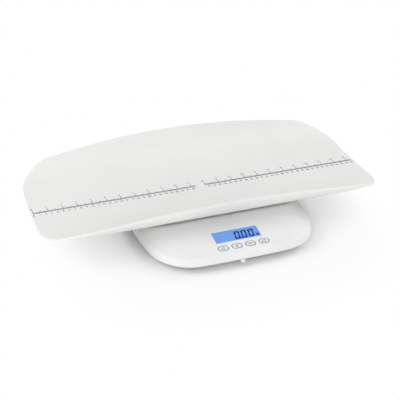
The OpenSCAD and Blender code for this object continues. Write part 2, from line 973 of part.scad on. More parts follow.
module cap(place) {
    color("dimgray")
        translate([place[0], place[1], well_floor_z])
            difference() {
                cylinder(r = cap_r, h = cap_height);
                translate([0, 0, cap_floor]) cylinder(d = stud_d, h = cap_height);
            }
}

module cap_front_left() { cap(stud_places[0]); }
module cap_front_right() { cap(stud_places[1]); }
module cap_back_left() { cap(stud_places[2]); }
module cap_back_right() { cap(stud_places[3]); }

// ---- What is drawn -------------------------------------------------------------------

base_top_cover();
base_bottom_cover();
display_window();
lcd_panel();
lcd_backlight();
display_holder();
main_board();
board_parts();
buzzer();
key_mat();
key_power();
key_hold();
key_tare();
key_unit();
load_cell_front_left();
load_cell_front_right();
load_cell_back_left();
load_cell_back_right();
foot_front_left();
foot_front_right();
foot_back_left();
foot_back_right();
sole_front_left();
sole_front_right();
sole_back_left();
sole_back_right();
battery_box();
battery_1();
battery_2();
battery_3();
battery_4();
battery_contacts();
battery_springs();
battery_door();
lock_slide();
lock_guide();
cell_leads();
battery_lead();
cover_screws();
board_screws();
guide_screws();
tray();
cap_front_left();
cap_front_right();
cap_back_left();
cap_back_right();
lock_pin();
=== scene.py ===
"""Looks for the digital baby weighing scale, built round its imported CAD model.

The modelling tools and the finishes come first, then the studio with its camera,
then one class for each sub-assembly: the tray, its printed ruler, the top cover,
the display and the keys. Sizes are in millimetres here and become metres when a
mesh is made.
"""

import logging
import math
from contextlib import contextmanager
from dataclasses import dataclass, field
from enum import Enum
from typing import Callable, Iterable, Iterator, Sequence

import bmesh
import bpy
import numpy as np
from mathutils import Matrix, Vector


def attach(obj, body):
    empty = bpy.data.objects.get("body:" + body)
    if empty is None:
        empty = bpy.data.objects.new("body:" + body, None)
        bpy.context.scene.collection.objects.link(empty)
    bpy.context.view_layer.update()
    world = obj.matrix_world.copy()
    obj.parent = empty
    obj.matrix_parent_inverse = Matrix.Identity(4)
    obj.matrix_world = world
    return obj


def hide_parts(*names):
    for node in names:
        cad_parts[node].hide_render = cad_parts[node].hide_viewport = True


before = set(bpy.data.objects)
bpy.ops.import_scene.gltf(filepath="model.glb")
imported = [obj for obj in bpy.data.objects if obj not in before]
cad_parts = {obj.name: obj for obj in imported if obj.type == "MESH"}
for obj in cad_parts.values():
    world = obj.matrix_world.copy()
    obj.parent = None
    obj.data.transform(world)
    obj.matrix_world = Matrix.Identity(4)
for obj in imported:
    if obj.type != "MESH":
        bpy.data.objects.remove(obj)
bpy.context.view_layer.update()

LOG = logging.getLogger("scale")
MM = 0.001
Rgb = tuple[float, float, float]
Point = tuple[float, float, float]
Flat = tuple[float, float]
Piece = bpy.types.Object
Socket = bpy.types.NodeSocket


def linear(red: float, green: float, blue: float) -> Rgb:
    """Turn a colour as seen on screen into the linear colour of a shader.

    Args:
        red: Red, 0 to 255.
        green: Green, 0 to 255.
        blue: Blue, 0 to 255.

    Returns:
        The linear colour, 0 to 1.
    """
    def channel(value: float) -> float:
        """Undo the screen curve of one channel."""
        part = value / 255.0
        return part / 12.92 if part <= 0.04045 else ((part + 0.055) / 1.055) ** 2.4

    return channel(red), channel(green), channel(blue)


# ---- Modelling tools -----------------------------------------------------------------


class Part(Enum):
    """What is picked in edit mode."""

    FACE = "FACE"
    EDGE = "EDGE"


class Solid(Enum):
    """What one solid does to another."""

    JOIN = "UNION"
    CUT = "DIFFERENCE"


def deselect() -> None:
    """Leave nothing selected."""
    for thing in bpy.context.selected_objects:
        thing.select_set(False)


def take_up(piece: Piece) -> None:
    """Select one piece alone and make it the active one.

    Args:
        piece: The piece.
    """
    deselect()
    piece.select_set(True)
    bpy.context.view_layer.objects.active = piece


@contextmanager
def editing(piece: Piece) -> Iterator[None]:
    """Hold a piece in edit mode.

    Args:
        piece: The piece.

    Yields:
        Nothing, while the piece is in edit mode.
    """
    take_up(piece)
    bpy.ops.object.mode_set(mode="EDIT")
    yield
    bpy.ops.object.mode_set(mode="OBJECT")


def set_down(piece: Piece) -> None:
    """Put a piece's place, turn and scale into its mesh."""
    take_up(piece)
    bpy.ops.object.transform_apply(location=True, rotation=True, scale=True)


def fresh(name: str) -> Piece:
    """Give the object that was just added its name.

    Args:
        name: The name.

    Returns:
        The object.
    """
    piece = bpy.context.active_object
    piece.name = piece.data.name = name
    return piece


def primitive(
    name: str, add: Callable[..., object], scale: Point = (1.0, 1.0, 1.0), **settings: object
) -> Piece:
    """Add a primitive, with its place, turn and scale in its mesh.

    Args:
        name: Name of the piece.
        add: The operator that adds it.
        scale: Its scale along each axis.
        **settings: What the operator takes.

    Returns:
        The piece.
    """
    deselect()
    add(**settings)
    piece = fresh(name)
    piece.scale = scale
    set_down(piece)
    return piece


def reshape(piece: Piece, rule: Callable[[np.ndarray], np.ndarray]) -> None:
    """Move all the points of a piece by a rule.

    Args:
        piece: The piece.
        rule: Takes the places in millimetres and gives the new ones.
    """
    raw = np.zeros(len(piece.data.vertices) * 3, np.float32)
    piece.data.vertices.foreach_get("co", raw)
    moved = rule(raw.reshape(-1, 3).astype(float) / MM) * MM
    piece.data.vertices.foreach_set("co", moved.astype(np.float32).ravel())
    piece.data.update()


def grid_piece(name: str, points: np.ndarray) -> Piece:
    """Make a sheet from a grid primitive whose points are then placed one by one.

    Args:
        name: Name of the new piece.
        points: Places in millimetres, rows by columns by three.

    Returns:
        The sheet.
    """
    rows, columns = points.shape[:2]
    sheet = primitive(
        name, bpy.ops.mesh.primitive_grid_add,
        x_subdivisions=columns - 1, y_subdivisions=rows - 1, size=2 * MM,
    )

    def place(raw: np.ndarray) -> np.ndarray:
        """Give each point of the grid, which reaches from -1 to 1, its place."""
        column, row = np.rint((raw[:, :2] + 1) / 2 * (columns - 1, rows - 1)).astype(int).T
        return points[row, column]

    reshape(sheet, place)
    return sheet


def modify(piece: Piece, kind: str, **settings: object) -> None:
    """Add a modifier and apply it.

    Args:
        piece: The piece.
        kind: Type of the modifier.
        **settings: Its properties.
    """
    modifier = piece.modifiers.new(kind.lower(), kind)
    for name, value in settings.items():
        setattr(modifier, name, value)
    take_up(piece)
    bpy.ops.object.modifier_apply(modifier=modifier.name)


def give_wall(piece: Piece, wall: float, side: float = -1.0) -> None:
    """Thicken a sheet, away from its faces' normals for -1 and along them for 1."""
    modify(piece, "SOLIDIFY", thickness=wall * MM, offset=side, use_even_offset=True)


def round_edges(piece: Piece, width: float, segments: int, angle: float) -> None:
    """Round the sharp edges of a piece.

    Args:
        piece: The piece.
        width: Width of the rounding in millimetres.
        segments: Steps of the rounding.
        angle: Edges sharper than this, in degrees, are rounded.
    """
    modify(
        piece, "BEVEL", width=width * MM, segments=segments, limit_method="ANGLE",
        angle_limit=math.radians(angle), use_clamp_overlap=True,
    )


def repeat(piece: Piece, count: int, step: float) -> None:
    """Repeat a piece along X.

    Args:
        piece: The piece.
        count: Number of times it stands in the row.
        step: Distance from one to the next, in millimetres.
    """
    modify(
        piece, "ARRAY", count=count, use_relative_offset=False, use_constant_offset=True,
        constant_offset_displace=(step * MM, 0, 0),
    )


def combine(piece: Piece, others: Iterable[Piece], how: Solid) -> None:
    """Join solids to a piece or cut them from it, and remove them.

    Args:
        piece: The piece that is kept.
        others: The solids that are used up.
        how: Whether they are joined or cut.
    """
    for other in others:
        modify(piece, "BOOLEAN", operation=how.value, solver="EXACT", object=other)
        mesh = other.data
        bpy.data.objects.remove(other)
        bpy.data.meshes.remove(mesh)


def merge(pieces: Sequence[Piece], name: str) -> Piece:
    """Join pieces into one mesh.

    Args:
        pieces: The pieces, of which the first is kept.
        name: Name of the joined piece.

    Returns:
        The joined piece.
    """
    take_up(pieces[0])
    for piece in pieces[1:]:
        piece.select_set(True)
    bpy.ops.object.join()
    return fresh(name)


def weld(piece: Piece, distance: float) -> None:
    """Merge doubled points and turn all faces outwards.

    Args:
        piece: The piece.
        distance: Points nearer than this, in millimetres, are merged.
    """
    with editing(piece):
        bpy.ops.mesh.select_all(action="SELECT")
        bpy.ops.mesh.remove_doubles(threshold=distance * MM)
        bpy.ops.mesh.normals_make_consistent(inside=False)


def smooth(piece: Piece, angle: float) -> None:
    """Shade a piece smooth across all but its sharp edges."""
    take_up(piece)
    bpy.ops.object.shade_smooth_by_angle(angle=math.radians(angle))


def pick(piece: Piece, kind: Part, test: Callable[[object], bool]) -> None:
    """Select, in edit mode, what passes a test and nothing else.

    Args:
        piece: The piece, in edit mode.
        kind: Whether faces or edges are picked.
        test: Says whether a face or an edge is wanted.
    """
    mesh = bmesh.from_edit_mesh(piece.data)
    bpy.ops.mesh.select_mode(type=kind.value)
    for part in mesh.faces if kind is Part.FACE else mesh.edges:
        part.select_set(bool(test(part)))
    mesh.select_flush_mode()
    bmesh.update_edit_mesh(piece.data)


def faces_up(face: bmesh.types.BMFace) -> bool:
    """Say whether a face looks up."""
    return face.normal.z > 0.9


def is_upright(edge: bmesh.types.BMEdge) -> bool:
    """Say whether an edge stands upright."""
    way = edge.verts[1].co - edge.verts[0].co
    return abs(way.z) > 0.99 * way.length


def round_upright(piece: Piece, radius: float, segments: int = 6) -> None:
    """Round the upright edges of a block that lies level.

    Args:
        piece: The block.
        radius: Radius in millimetres.
        segments: Steps of the rounding.
    """
    with editing(piece):
        pick(piece, Part.EDGE, is_upright)
        bpy.ops.mesh.bevel(offset=radius * MM, segments=segments)


def hollow(piece: Piece, width: float) -> None:
    """Leave only a band of a level face, along its edge.

    Args:
        piece: The piece, with one face.
        width: Width of the band in millimetres.
    """
    with editing(piece):
        pick(piece, Part.FACE, lambda face: True)
        bpy.ops.mesh.inset(thickness=width * MM)
        bpy.ops.mesh.delete(type="FACE")


def remove_faces(piece: Piece, test: Callable[[Vector], bool]) -> None:
    """Remove faces by their middle.

    Args:
        piece: The piece.
        test: Says, from a face's middle in millimetres, whether it goes.
    """
    with editing(piece):
        pick(piece, Part.FACE, lambda face: test(face.calc_center_median() / MM))
        bpy.ops.mesh.delete(type="FACE")


def move(piece: Piece, shift: Point) -> None:
    """Move a piece's mesh, in millimetres."""
    piece.data.transform(Matrix.Translation(Vector(shift) * MM))
    piece.data.update()


def copy_to(piece: Piece, shift: Point) -> Piece:
    """Copy a piece, with a mesh of its own.

    Args:
        piece: The piece.
        shift: How far the copy is moved, in millimetres.

    Returns:
        The copy.
    """
    twin = piece.copy()
    twin.data = piece.data.copy()
    bpy.context.scene.collection.objects.link(twin)
    move(twin, shift)
    return twin


def flat_block(name: str, size: Flat, middle: Flat) -> Piece:
    """Add a level rectangle at height nought, in millimetres."""
    return primitive(
        name, bpy.ops.mesh.primitive_plane_add, (size[0] * MM, size[1] * MM, 1),
        size=1, location=(middle[0] * MM, middle[1] * MM, 0),
    )


def flat_disc(name: str, radius: float, sides: int) -> Piece:
    """Add a level round face about the origin, in millimetres."""
    return primitive(
        name, bpy.ops.mesh.primitive_circle_add, vertices=sides, radius=radius * MM,
        fill_type="NGON", rotation=(0, 0, math.pi / sides),
    )


def flat_outline(name: str, corners: Sequence[Flat]) -> Piece:
    """Add a level face by placing the points of a filled circle.

    Args:
        name: Name of the piece.
        corners: Its corners in order, in millimetres.

    Returns:
        The face, turned upwards.
    """
    piece = primitive(
        name, bpy.ops.mesh.primitive_circle_add, vertices=len(corners), fill_type="NGON"
    )
    reshape(piece, lambda points: np.array([(x, y, 0.0) for x, y in corners]))
    with editing(piece):
        pick(piece, Part.FACE, lambda face: face.normal.z < 0)
        bpy.ops.mesh.flip_normals()
    return piece


def block(name: str, size: Point, low: Point) -> Piece:
    """Add a block that stands on the middle of its lower face, in millimetres."""
    return primitive(
        name, bpy.ops.mesh.primitive_cube_add, tuple(side * MM for side in size),
        size=1, location=(low[0] * MM, low[1] * MM, (low[2] + size[2] / 2) * MM),
    )


def cylinder(name: str, radius: float, low: Point, height: float, sides: int = 48) -> Piece:
    """Add an upright cylinder on the middle of its lower face, in millimetres."""
    return primitive(
        name, bpy.ops.mesh.primitive_cylinder_add,
        vertices=sides, radius=radius * MM, depth=height * MM,
        location=(low[0] * MM, low[1] * MM, (low[2] + height / 2) * MM),
    )


def part_halves(piece: Piece, shift: float) -> None:
    """Move the two halves of a round piece apart along X.

    Args:
        piece: The piece.
        shift: How far each half moves, in millimetres.
    """
    def part(points: np.ndarray) -> np.ndarray:
        """Move each half outwards."""
        side = np.where(np.abs(points[:, 0]) > 1e-3, np.sign(points[:, 0]), 0.0)
        return points + np.outer(side * shift, [1.0, 0.0, 0.0])

    reshape(piece, part)


def slot_block(name: str, size: Flat, low: Point, height: float) -> Piece:
    """Add a block with half-round ends, by parting a cylinder's two halves.

    Args:
        name: Name of the piece.
        size: Length over the round ends, and width, in millimetres.
        low: Middle of its lower face, in millimetres.
        height: Height in millimetres.

    Returns:
        The block.
    """
    piece = cylinder(name, size[1] / 2, (0, 0, low[2]), height, sides=64)
    part_halves(piece, (size[0] - size[1]) / 2)
    move(piece, (low[0], low[1], 0))
    return piece


# ---- Finishes ------------------------------------------------------------------------


class Tree:
    """A node tree, with a short way to add nodes and wire them."""

    def __init__(self, owner: bpy.types.ID) -> None:
        """Start an empty tree.

        Args:
            owner: The material or world that it belongs to.
        """
        owner.use_nodes = True
        self.nodes = owner.node_tree.nodes
        self.links = owner.node_tree.links
        self.nodes.clear()

    def feed(self, entry: Socket, value: object) -> None:
        """Link a socket to an input, or set the input's own value.

        Args:
            entry: The input.
            value: A socket, or a number or colour.
        """
        if isinstance(value, Socket):
            self.links.new(value, entry)
        else:
            entry.default_value = value

    def node(
        self, kind: str, inputs: dict[str | int, object], **settings: object
    ) -> bpy.types.Node:
        """Add a node.

        Args:
            kind: Its type, without the beginning that all have.
            inputs: What feeds its inputs, by their name or number.
            **settings: Its own properties.

        Returns:
            The node.
        """
        node = self.nodes.new(f"ShaderNode{kind}")
        for name, value in settings.items():
            setattr(node, name, value)
        for place, value in inputs.items():
            self.feed(node.inputs[place], value)
        return node

    def mix(self, share: Socket, first: bpy.types.Node, second: bpy.types.Node) -> bpy.types.Node:
        """Mix two shaders, from the first at 0 to the second at 1."""
        ends = {1: first.outputs[0], 2: second.outputs[0]}
        return self.node("MixShader", {"Fac": share, **ends})


class Sheet(Tree):
    """A material's node tree, with short ways to add what the finishes share."""

    def __init__(self, name: str) -> None:
        """Start a material with only a Principled shader.

        Args:
            name: The material's name.
        """
        self.material = bpy.data.materials.new(name)
        super().__init__(self.material)
        self.shader = self.node("BsdfPrincipled", {})
        self.output = self.node("OutputMaterial", {"Surface": self.shader.outputs["BSDF"]})
        self.place = self.node("TexCoord", {}).outputs["Object"]

    def put(self, socket: str, value: object) -> None:
        """Set or link one of the shader's own inputs."""
        self.feed(self.shader.inputs[socket], value)

    def noise(self, size: float, detail: float = 2.0, scale: Point = (1, 1, 1)) -> Socket:
        """Add a noise pattern on Object coordinates.

        Args:
            size: Size of its features in millimetres.
            detail: Detail of the noise.
            scale: Stretch of the pattern along each axis.

        Returns:
            Its value.
        """
        mapped = self.node("Mapping", {"Vector": self.place, "Scale": scale}).outputs["Vector"]
        texture = self.node(
            "TexNoise", {"Vector": mapped, "Scale": 1.0 / (size * MM), "Detail": detail}
        )
        return texture.outputs["Fac"]

    def axis(self, which: str) -> Socket:
        """Give one Object coordinate in metres."""
        return self.node("SeparateXYZ", {"Vector": self.place}).outputs[which]

    def maths(self, operation: str, first: Socket, second: Socket | float = 0.5) -> Socket:
        """Add a Math node with two inputs."""
        return self.node("Math", {0: first, 1: second}, operation=operation).outputs["Value"]

    def ramp(self, value: Socket, stops: Sequence[tuple[float, Rgb]]) -> Socket:
        """Turn a value into a colour.

        Args:
            value: The value.
            stops: Places on the ramp and their colours.

        Returns:
            The colour.
        """
        node = self.node("ValToRGB", {"Fac": value})
        elements = node.color_ramp.elements
        elements[0].position, elements[1].position = stops[0][0], stops[-1][0]
        elements[0].color = (*stops[0][1], 1)
        elements[1].color = (*stops[-1][1], 1)
        for place, colour in stops[1:-1]:
            elements.new(place).color = (*colour, 1)
        return node.outputs["Color"]

    def spread(
        self, value: Socket, low: float, high: float, start: float = 0.3, end: float = 0.7
    ) -> Socket:
        """Spread a pattern's value over a range.

        Args:
            value: The pattern's value.
            low: Result at start.
            high: Result at end.
            start: Pattern value that gives low.
            end: Pattern value that gives high.

        Returns:
            The new value.
        """
        ends = {"From Min": start, "From Max": end, "To Min": low, "To Max": high}
        return self.node("MapRange", {"Value": value, **ends}).outputs["Result"]

    def colour(
        self, value: Socket, dark: Rgb, light: Rgb, start: float = 0.3, end: float = 0.7
    ) -> None:
        """Colour the surface by a pattern, dark at start and light at end."""
        self.put("Base Color", self.ramp(value, [(start, dark), (end, light)]))

    def rough(self, value: Socket, low: float, high: float) -> None:
        """Vary the roughness from low to high by a pattern."""
        self.put("Roughness", self.spread(value, low, high))

    def bump(self, value: Socket, depth: float, strength: float = 1.0) -> None:
        """Raise the surface by a pattern, to a depth in millimetres."""
        relief = {"Height": value, "Distance": depth * MM, "Strength": strength}
        self.put("Normal", self.node("Bump", relief).outputs["Normal"])


@dataclass(frozen=True)
class Finish:
    """What every finish has: a name, and a sheet that it is drawn on.

    The sizes of patterns, clouds and grain are in millimetres.
    """

    name: str

    def draw(self, sheet: Sheet) -> None:
        """Draw the finish on its sheet."""
        raise NotImplementedError

    def build(self) -> bpy.types.Material:
        """Make the material.

        Returns:
            The material.
        """
        sheet = Sheet(self.name)
        self.draw(sheet)
        return sheet.material


@dataclass(frozen=True)
class MouldedPlastic(Finish):
    """Injection-moulded plastic, faintly cloudy, with a fine grain."""

    light: Rgb
    dark: Rgb
    roughness: float
    cloud: float = 70.0
    grain: float = 0.7
    relief: float = 0.004
    smoother: float = 0.03
    rougher: float = 0.04
    index: float = 1.47

    def draw(self, sheet: Sheet) -> None:
        """Draw the clouds, the uneven gloss and the grain.

        Args:
            sheet: The finish's sheet.
        """
        sheet.colour(sheet.noise(self.cloud, 3.0), self.dark, self.light)
        worn = sheet.noise(self.cloud / 4, 4.0)
        sheet.rough(worn, self.roughness - self.smoother, self.roughness + self.rougher)
        sheet.bump(sheet.noise(self.grain), self.relief)
        sheet.put("IOR", self.index)


@dataclass(frozen=True)
class Metal(Finish):
    """Metal with a brushed, drawn or plated face."""

    light: Rgb
    dark: Rgb
    roughness: float
    stretch: Point = (1.0, 12.0, 12.0)
    grain: float = 3.0
    relief: float = 0.01
    smoother: float = 0.06
    rougher: float = 0.1

    def draw(self, sheet: Sheet) -> None:
        """Draw the streaks.

        Args:
            sheet: The finish's sheet.
        """
        streaks = sheet.noise(self.grain, 4.0, self.stretch)
        sheet.colour(streaks, self.dark, self.light)
        sheet.rough(streaks, self.roughness - self.smoother, self.roughness + self.rougher)
        sheet.bump(streaks, self.relief, strength=0.5)
        sheet.put("Metallic", 1.0)


@dataclass(frozen=True)
class Rubber(Finish):
    """Matt rubber with a pebbled skin and a little dust."""

    light: Rgb
    dark: Rgb
    roughness: float = 0.75
    dust: float = 9.0
    pebbles: float = 0.5
    relief: float = 0.02
    swing: float = 0.08

    def draw(self, sheet: Sheet) -> None:
        """Draw the dust and the pebbles.

        Args:
            sheet: The finish's sheet.
        """
        dust = sheet.noise(self.dust, 4.0)
        sheet.colour(dust, self.dark, self.light, 0.35, 0.75)
        sheet.rough(dust, self.roughness - self.swing, self.roughness + self.swing)
        sheet.bump(sheet.noise(self.pebbles), self.relief)


@dataclass(frozen=True)
class Ink(Finish):
    """Printed ink, a little uneven where it is thin."""

    light: Rgb
    dark: Rgb
    index: float = 1.45
    patches: float = 2.5
    gloss: Flat = (0.4, 0.6)

    def draw(self, sheet: Sheet) -> None:
        """Draw the uneven colour and gloss.

        Args:
            sheet: The finish's sheet.
        """
        patchy = sheet.noise(self.patches, 3.0)
        sheet.colour(patchy, self.dark, self.light, 0.3, 0.75)
        sheet.rough(patchy, *self.gloss)
        sheet.put("IOR", self.index)


@dataclass(frozen=True)
class LitPanel(Finish):
    """A display lit from behind, a shade deeper towards its two ends."""

    middle: Rgb
    rim: Rgb
    strength: float
    reach: float
    dark: float = 0.12
    flat_part: float = 0.8
    clouds: float = 6.0
    swing: float = 0.05
    roughness: float = 0.35
    index: float = 1.08

    def draw(self, sheet: Sheet) -> None:
        """Draw the glow over the dark panel.

        Args:
            sheet: The finish's sheet.
        """
        share = sheet.maths("DIVIDE", sheet.maths("ABSOLUTE", sheet.axis("X")), self.reach * MM)
        clouds = sheet.spread(sheet.noise(self.clouds), -self.swing, self.swing)
        stops = [(0.0, self.middle), (self.flat_part, self.middle), (1.0, self.rim)]
        sheet.put("Emission Color", sheet.ramp(sheet.maths("ADD", share, clouds), stops))
        sheet.put("Emission Strength", self.strength)
        sheet.put("Base Color", (self.dark * 0.3, self.dark * 0.5, self.dark, 1))
        sheet.put("Roughness", self.roughness)
        sheet.put("IOR", self.index)


@dataclass(frozen=True)
class ClearWindow(Finish):
    """A clear flat window with faint wipe marks."""

    tint: Rgb
    wipes: float = 5.0
    stretch: Point = (1.0, 6.0, 6.0)
    gloss: Flat = (0.02, 0.06)
    index: float = 1.2

    def draw(self, sheet: Sheet) -> None:
        """Draw the wipe marks.

        Args:
            sheet: The finish's sheet.
        """
        wiped = sheet.noise(self.wipes, 3.0, self.stretch)
        sheet.colour(wiped, self.tint, (1.0, 1.0, 1.0), 0.2, 0.8)
        sheet.rough(wiped, *self.gloss)
        sheet.put("IOR", self.index)
        sheet.put("Transmission Weight", 1.0)


@dataclass(frozen=True)
class CircuitBoard(Finish):
    """A lacquered circuit board with copper tracks under the lacquer."""

    lacquer: Rgb
    track: Rgb
    tracks: float = 160.0
    track_width: float = 0.06
    relief: float = 0.02
    patches: float = 8.0
    gloss: Flat = (0.25, 0.4)

    def draw(self, sheet: Sheet) -> None:
        """Draw the tracks.

        Args:
            sheet: The finish's sheet.
        """
        tracks = sheet.node("TexBrick", {
            "Vector": sheet.place, "Scale": self.tracks, "Mortar Size": self.track_width,
            "Color1": (0, 0, 0, 1), "Color2": (0.15, 0.15, 0.15, 1), "Mortar": (1, 1, 1, 1),
        }).outputs["Color"]
        sheet.colour(tracks, self.lacquer, self.track, 0.1, 0.8)
        sheet.rough(sheet.noise(self.patches), *self.gloss)
        sheet.bump(tracks, self.relief)


@dataclass(frozen=True)
class BatteryJacket(Finish):
    """A plain printed jacket, with another colour beyond a place along the cell."""

    body: Rgb
    band: Rgb
    edge: float
    blur: float = 0.4
    patches: float = 7.0
    gloss: Flat = (0.25, 0.4)
    metallic: float = 0.4

    def draw(self, sheet: Sheet) -> None:
        """Draw the two colours.

        Args:
            sheet: The finish's sheet.
        """
        start, end = (self.edge - self.blur) * MM, (self.edge + self.blur) * MM
        along = sheet.spread(sheet.axis("X"), 0.0, 1.0, start, end)
        sheet.colour(along, self.body, self.band, 0.0, 1.0)
        sheet.rough(sheet.noise(self.patches, 3.0), *self.gloss)
        sheet.put("Metallic", self.metallic)


WHITE_TRAY = MouldedPlastic("tray white", linear(240, 240, 238), linear(236, 236, 234), 0.36, 120)
WHITE_COVER = MouldedPlastic("cover white", linear(240, 240, 240), linear(236, 236, 236), 0.40, 90)
WHITE_UNDERSIDE = MouldedPlastic(
    "underside white", linear(226, 226, 225), linear(222, 222, 221), 0.55, 60, 0.9, 0.02
)
WHITE_KEY = MouldedPlastic("key white", linear(239, 240, 241), linear(234, 235, 237), 0.42, 14, 0.5)
GREY_BOX = MouldedPlastic(
    "box grey", linear(198, 198, 200), linear(188, 188, 190), 0.55, 25, 0.9, 0.02
)
GREY_HOLDER = MouldedPlastic("holder grey", linear(196, 197, 199), linear(184, 186, 188), 0.5, 18)
DIFFUSER = MouldedPlastic("light guide", linear(243, 246, 251), linear(232, 238, 248), 0.3, 12)
CHIP_BLACK = MouldedPlastic(
    "component black", linear(44, 44, 46), linear(30, 30, 32), 0.45, 5, 0.4, 0.01
)
MAT_GREY = Rubber("key mat", linear(206, 207, 208), linear(194, 195, 197), 0.6)
SOLE_RUBBER = Rubber("sole rubber", linear(150, 151, 153), linear(122, 123, 126))
LEAD_BLACK = Rubber("black lead", linear(52, 52, 54), linear(30, 30, 32), 0.5)
LEAD_RED = Rubber("red lead", linear(186, 40, 34), linear(150, 26, 22), 0.5)
CELL_STEEL = Metal("load cell steel", (0.62, 0.63, 0.64), (0.50, 0.51, 0.52), 0.34)
SPRING_STEEL = Metal("spring steel", (0.74, 0.75, 0.76), (0.6, 0.61, 0.62), 0.25)
SCREW_STEEL = Metal(
    "zinc-plated steel", (0.66, 0.67, 0.68), (0.52, 0.53, 0.54), 0.3, (1, 1, 1), 1.5
)
CONTACT_BRASS = Metal("contact brass", (0.80, 0.66, 0.36), (0.66, 0.52, 0.26), 0.28)
BOARD_GREEN = CircuitBoard("circuit board", linear(16, 92, 52), linear(52, 138, 78))
WINDOW = ClearWindow("display window", (0.97, 0.985, 1.0))
LIT_FILM = LitPanel("lit display", linear(101, 149, 213), linear(98, 146, 210), 1.0, 38.7)
LCD_GLASS = LitPanel("display panel", linear(110, 150, 215), linear(100, 140, 205), 0.3, 36.0, 0.3)
RULER_INK = Ink("ruler ink", linear(82, 88, 112), linear(62, 68, 94))
ICON_INK = Ink("icon ink", linear(50, 62, 98), linear(36, 48, 84))
SEGMENT_INK = Ink("display segment", linear(8, 8, 140), linear(6, 6, 122), 1.08)
JACKETS = (linear(48, 50, 56), linear(196, 140, 66))
JACKET_EDGE = 12.5


def at_corners(stem: str) -> tuple[str, ...]:
    """Name the four like nodes that stand at the corners."""
    return tuple(f"{stem}_{end}_{side}" for end in ("front", "back") for side in ("left", "right"))


CAD_FINISHES: dict[Finish, tuple[str, ...]] = {
    WHITE_UNDERSIDE: ("base_bottom_cover", "battery_door", *at_corners("foot")),
    WHITE_COVER: ("lock_slide",),
    GREY_HOLDER: ("display_holder", "lock_guide"),
    GREY_BOX: ("battery_box",),
    DIFFUSER: ("lcd_backlight",),
    BOARD_GREEN: ("main_board",),
    CHIP_BLACK: ("board_parts", "buzzer"),
    MAT_GREY: ("key_mat",),
    SOLE_RUBBER: (*at_corners("sole"), *at_corners("cap")),
    CELL_STEEL: at_corners("load_cell"),
    CONTACT_BRASS: ("battery_contacts",),
    SPRING_STEEL: ("battery_springs",),
    SCREW_STEEL: ("cover_screws", "board_screws", "guide_screws", "lock_pin"),
    LEAD_BLACK: ("cell_leads",),
    LEAD_RED: ("battery_lead",),
    LCD_GLASS: ("lcd_panel",),
}


@dataclass
class FinishShelf:
    """Builds each finish once and puts it on pieces and CAD nodes."""

    made: dict[str, bpy.types.Material] = field(default_factory=dict)

    def take(self, finish: Finish) -> bpy.types.Material:
        """Give the material of a finish, made at its first use.

        Args:
            finish: The finish.

        Returns:
            Its material.
        """
        if finish.name not in self.made:
            self.made[finish.name] = finish.build()
        return self.made[finish.name]

    def paint(self, piece: Piece, finish: Finish) -> None:
        """Put one finish all over a new piece."""
        piece.data.materials.clear()
        piece.data.materials.append(self.take(finish))

    def paint_node(self, name: str, finish: Finish) -> None:
        """Put one finish on the material slots of a CAD node.

        Args:
            name: The node.
            finish: The finish.
        """
        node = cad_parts[name]
        if not node.material_slots:
            node.data.materials.append(self.take(finish))
        for slot in node.material_slots:
            slot.material = self.take(finish)

    def paint_frame(self) -> None:
        """Put its finish on every CAD node that stays in view."""
        for finish, names in CAD_FINISHES.items():
            for name in names:
                self.paint_node(name, finish)
        for index, way in enumerate((1, -1, 1, -1), 1):
            jacket = BatteryJacket(f"battery jacket {index}", *JACKETS[::way], way * JACKET_EDGE)
            self.paint_node(f"battery_{index}", jacket)


# ---- Studio --------------------------------------------------------------------------


def direction(azimuth: float, elevation: float) -> Vector:
    """Point away from the object.

    Args:
        azimuth: Degrees round from the front, to the right.
        elevation: Degrees up from the ground.

    Returns:
        A unit vector.
    """
    turn, rise = math.radians(azimuth), math.radians(elevation)
    return Vector((
        math.sin(turn) * math.cos(rise), -math.cos(turn) * math.cos(rise), math.sin(rise)
    ))


@dataclass(frozen=True)
class Softbox:
    """A large square lamp that faces the object, in metres."""

    name: str
    azimuth: float
    elevation: float
    power: float
    distance: float = 2.0
    side: float = 1.4
    aim_z: float = 0.03

    def hang(self) -> None:
        """Hang the softbox round the object, facing its middle."""
        data = bpy.data.lights.new(self.name, "AREA")
        data.size = self.side
        data.energy = self.power
        lamp = bpy.data.objects.new(self.name, data)
        bpy.context.scene.collection.objects.link(lamp)
        way = direction(self.azimuth, self.elevation)
        lamp.location = way * self.distance + Vector((0, 0, self.aim_z))
        lamp.rotation_euler = way.to_track_quat("Z", "Y").to_euler()


SOFTBOXES = (
    Softbox("softbox_left", -100, 35, 16.0),
    Softbox("softbox_right", 100, 35, 14.0),
    Softbox("softbox_front", -10, 12, 21.0, 2.2),
    Softbox("softbox_top", 0, 90, 1.5, 1.9),
)


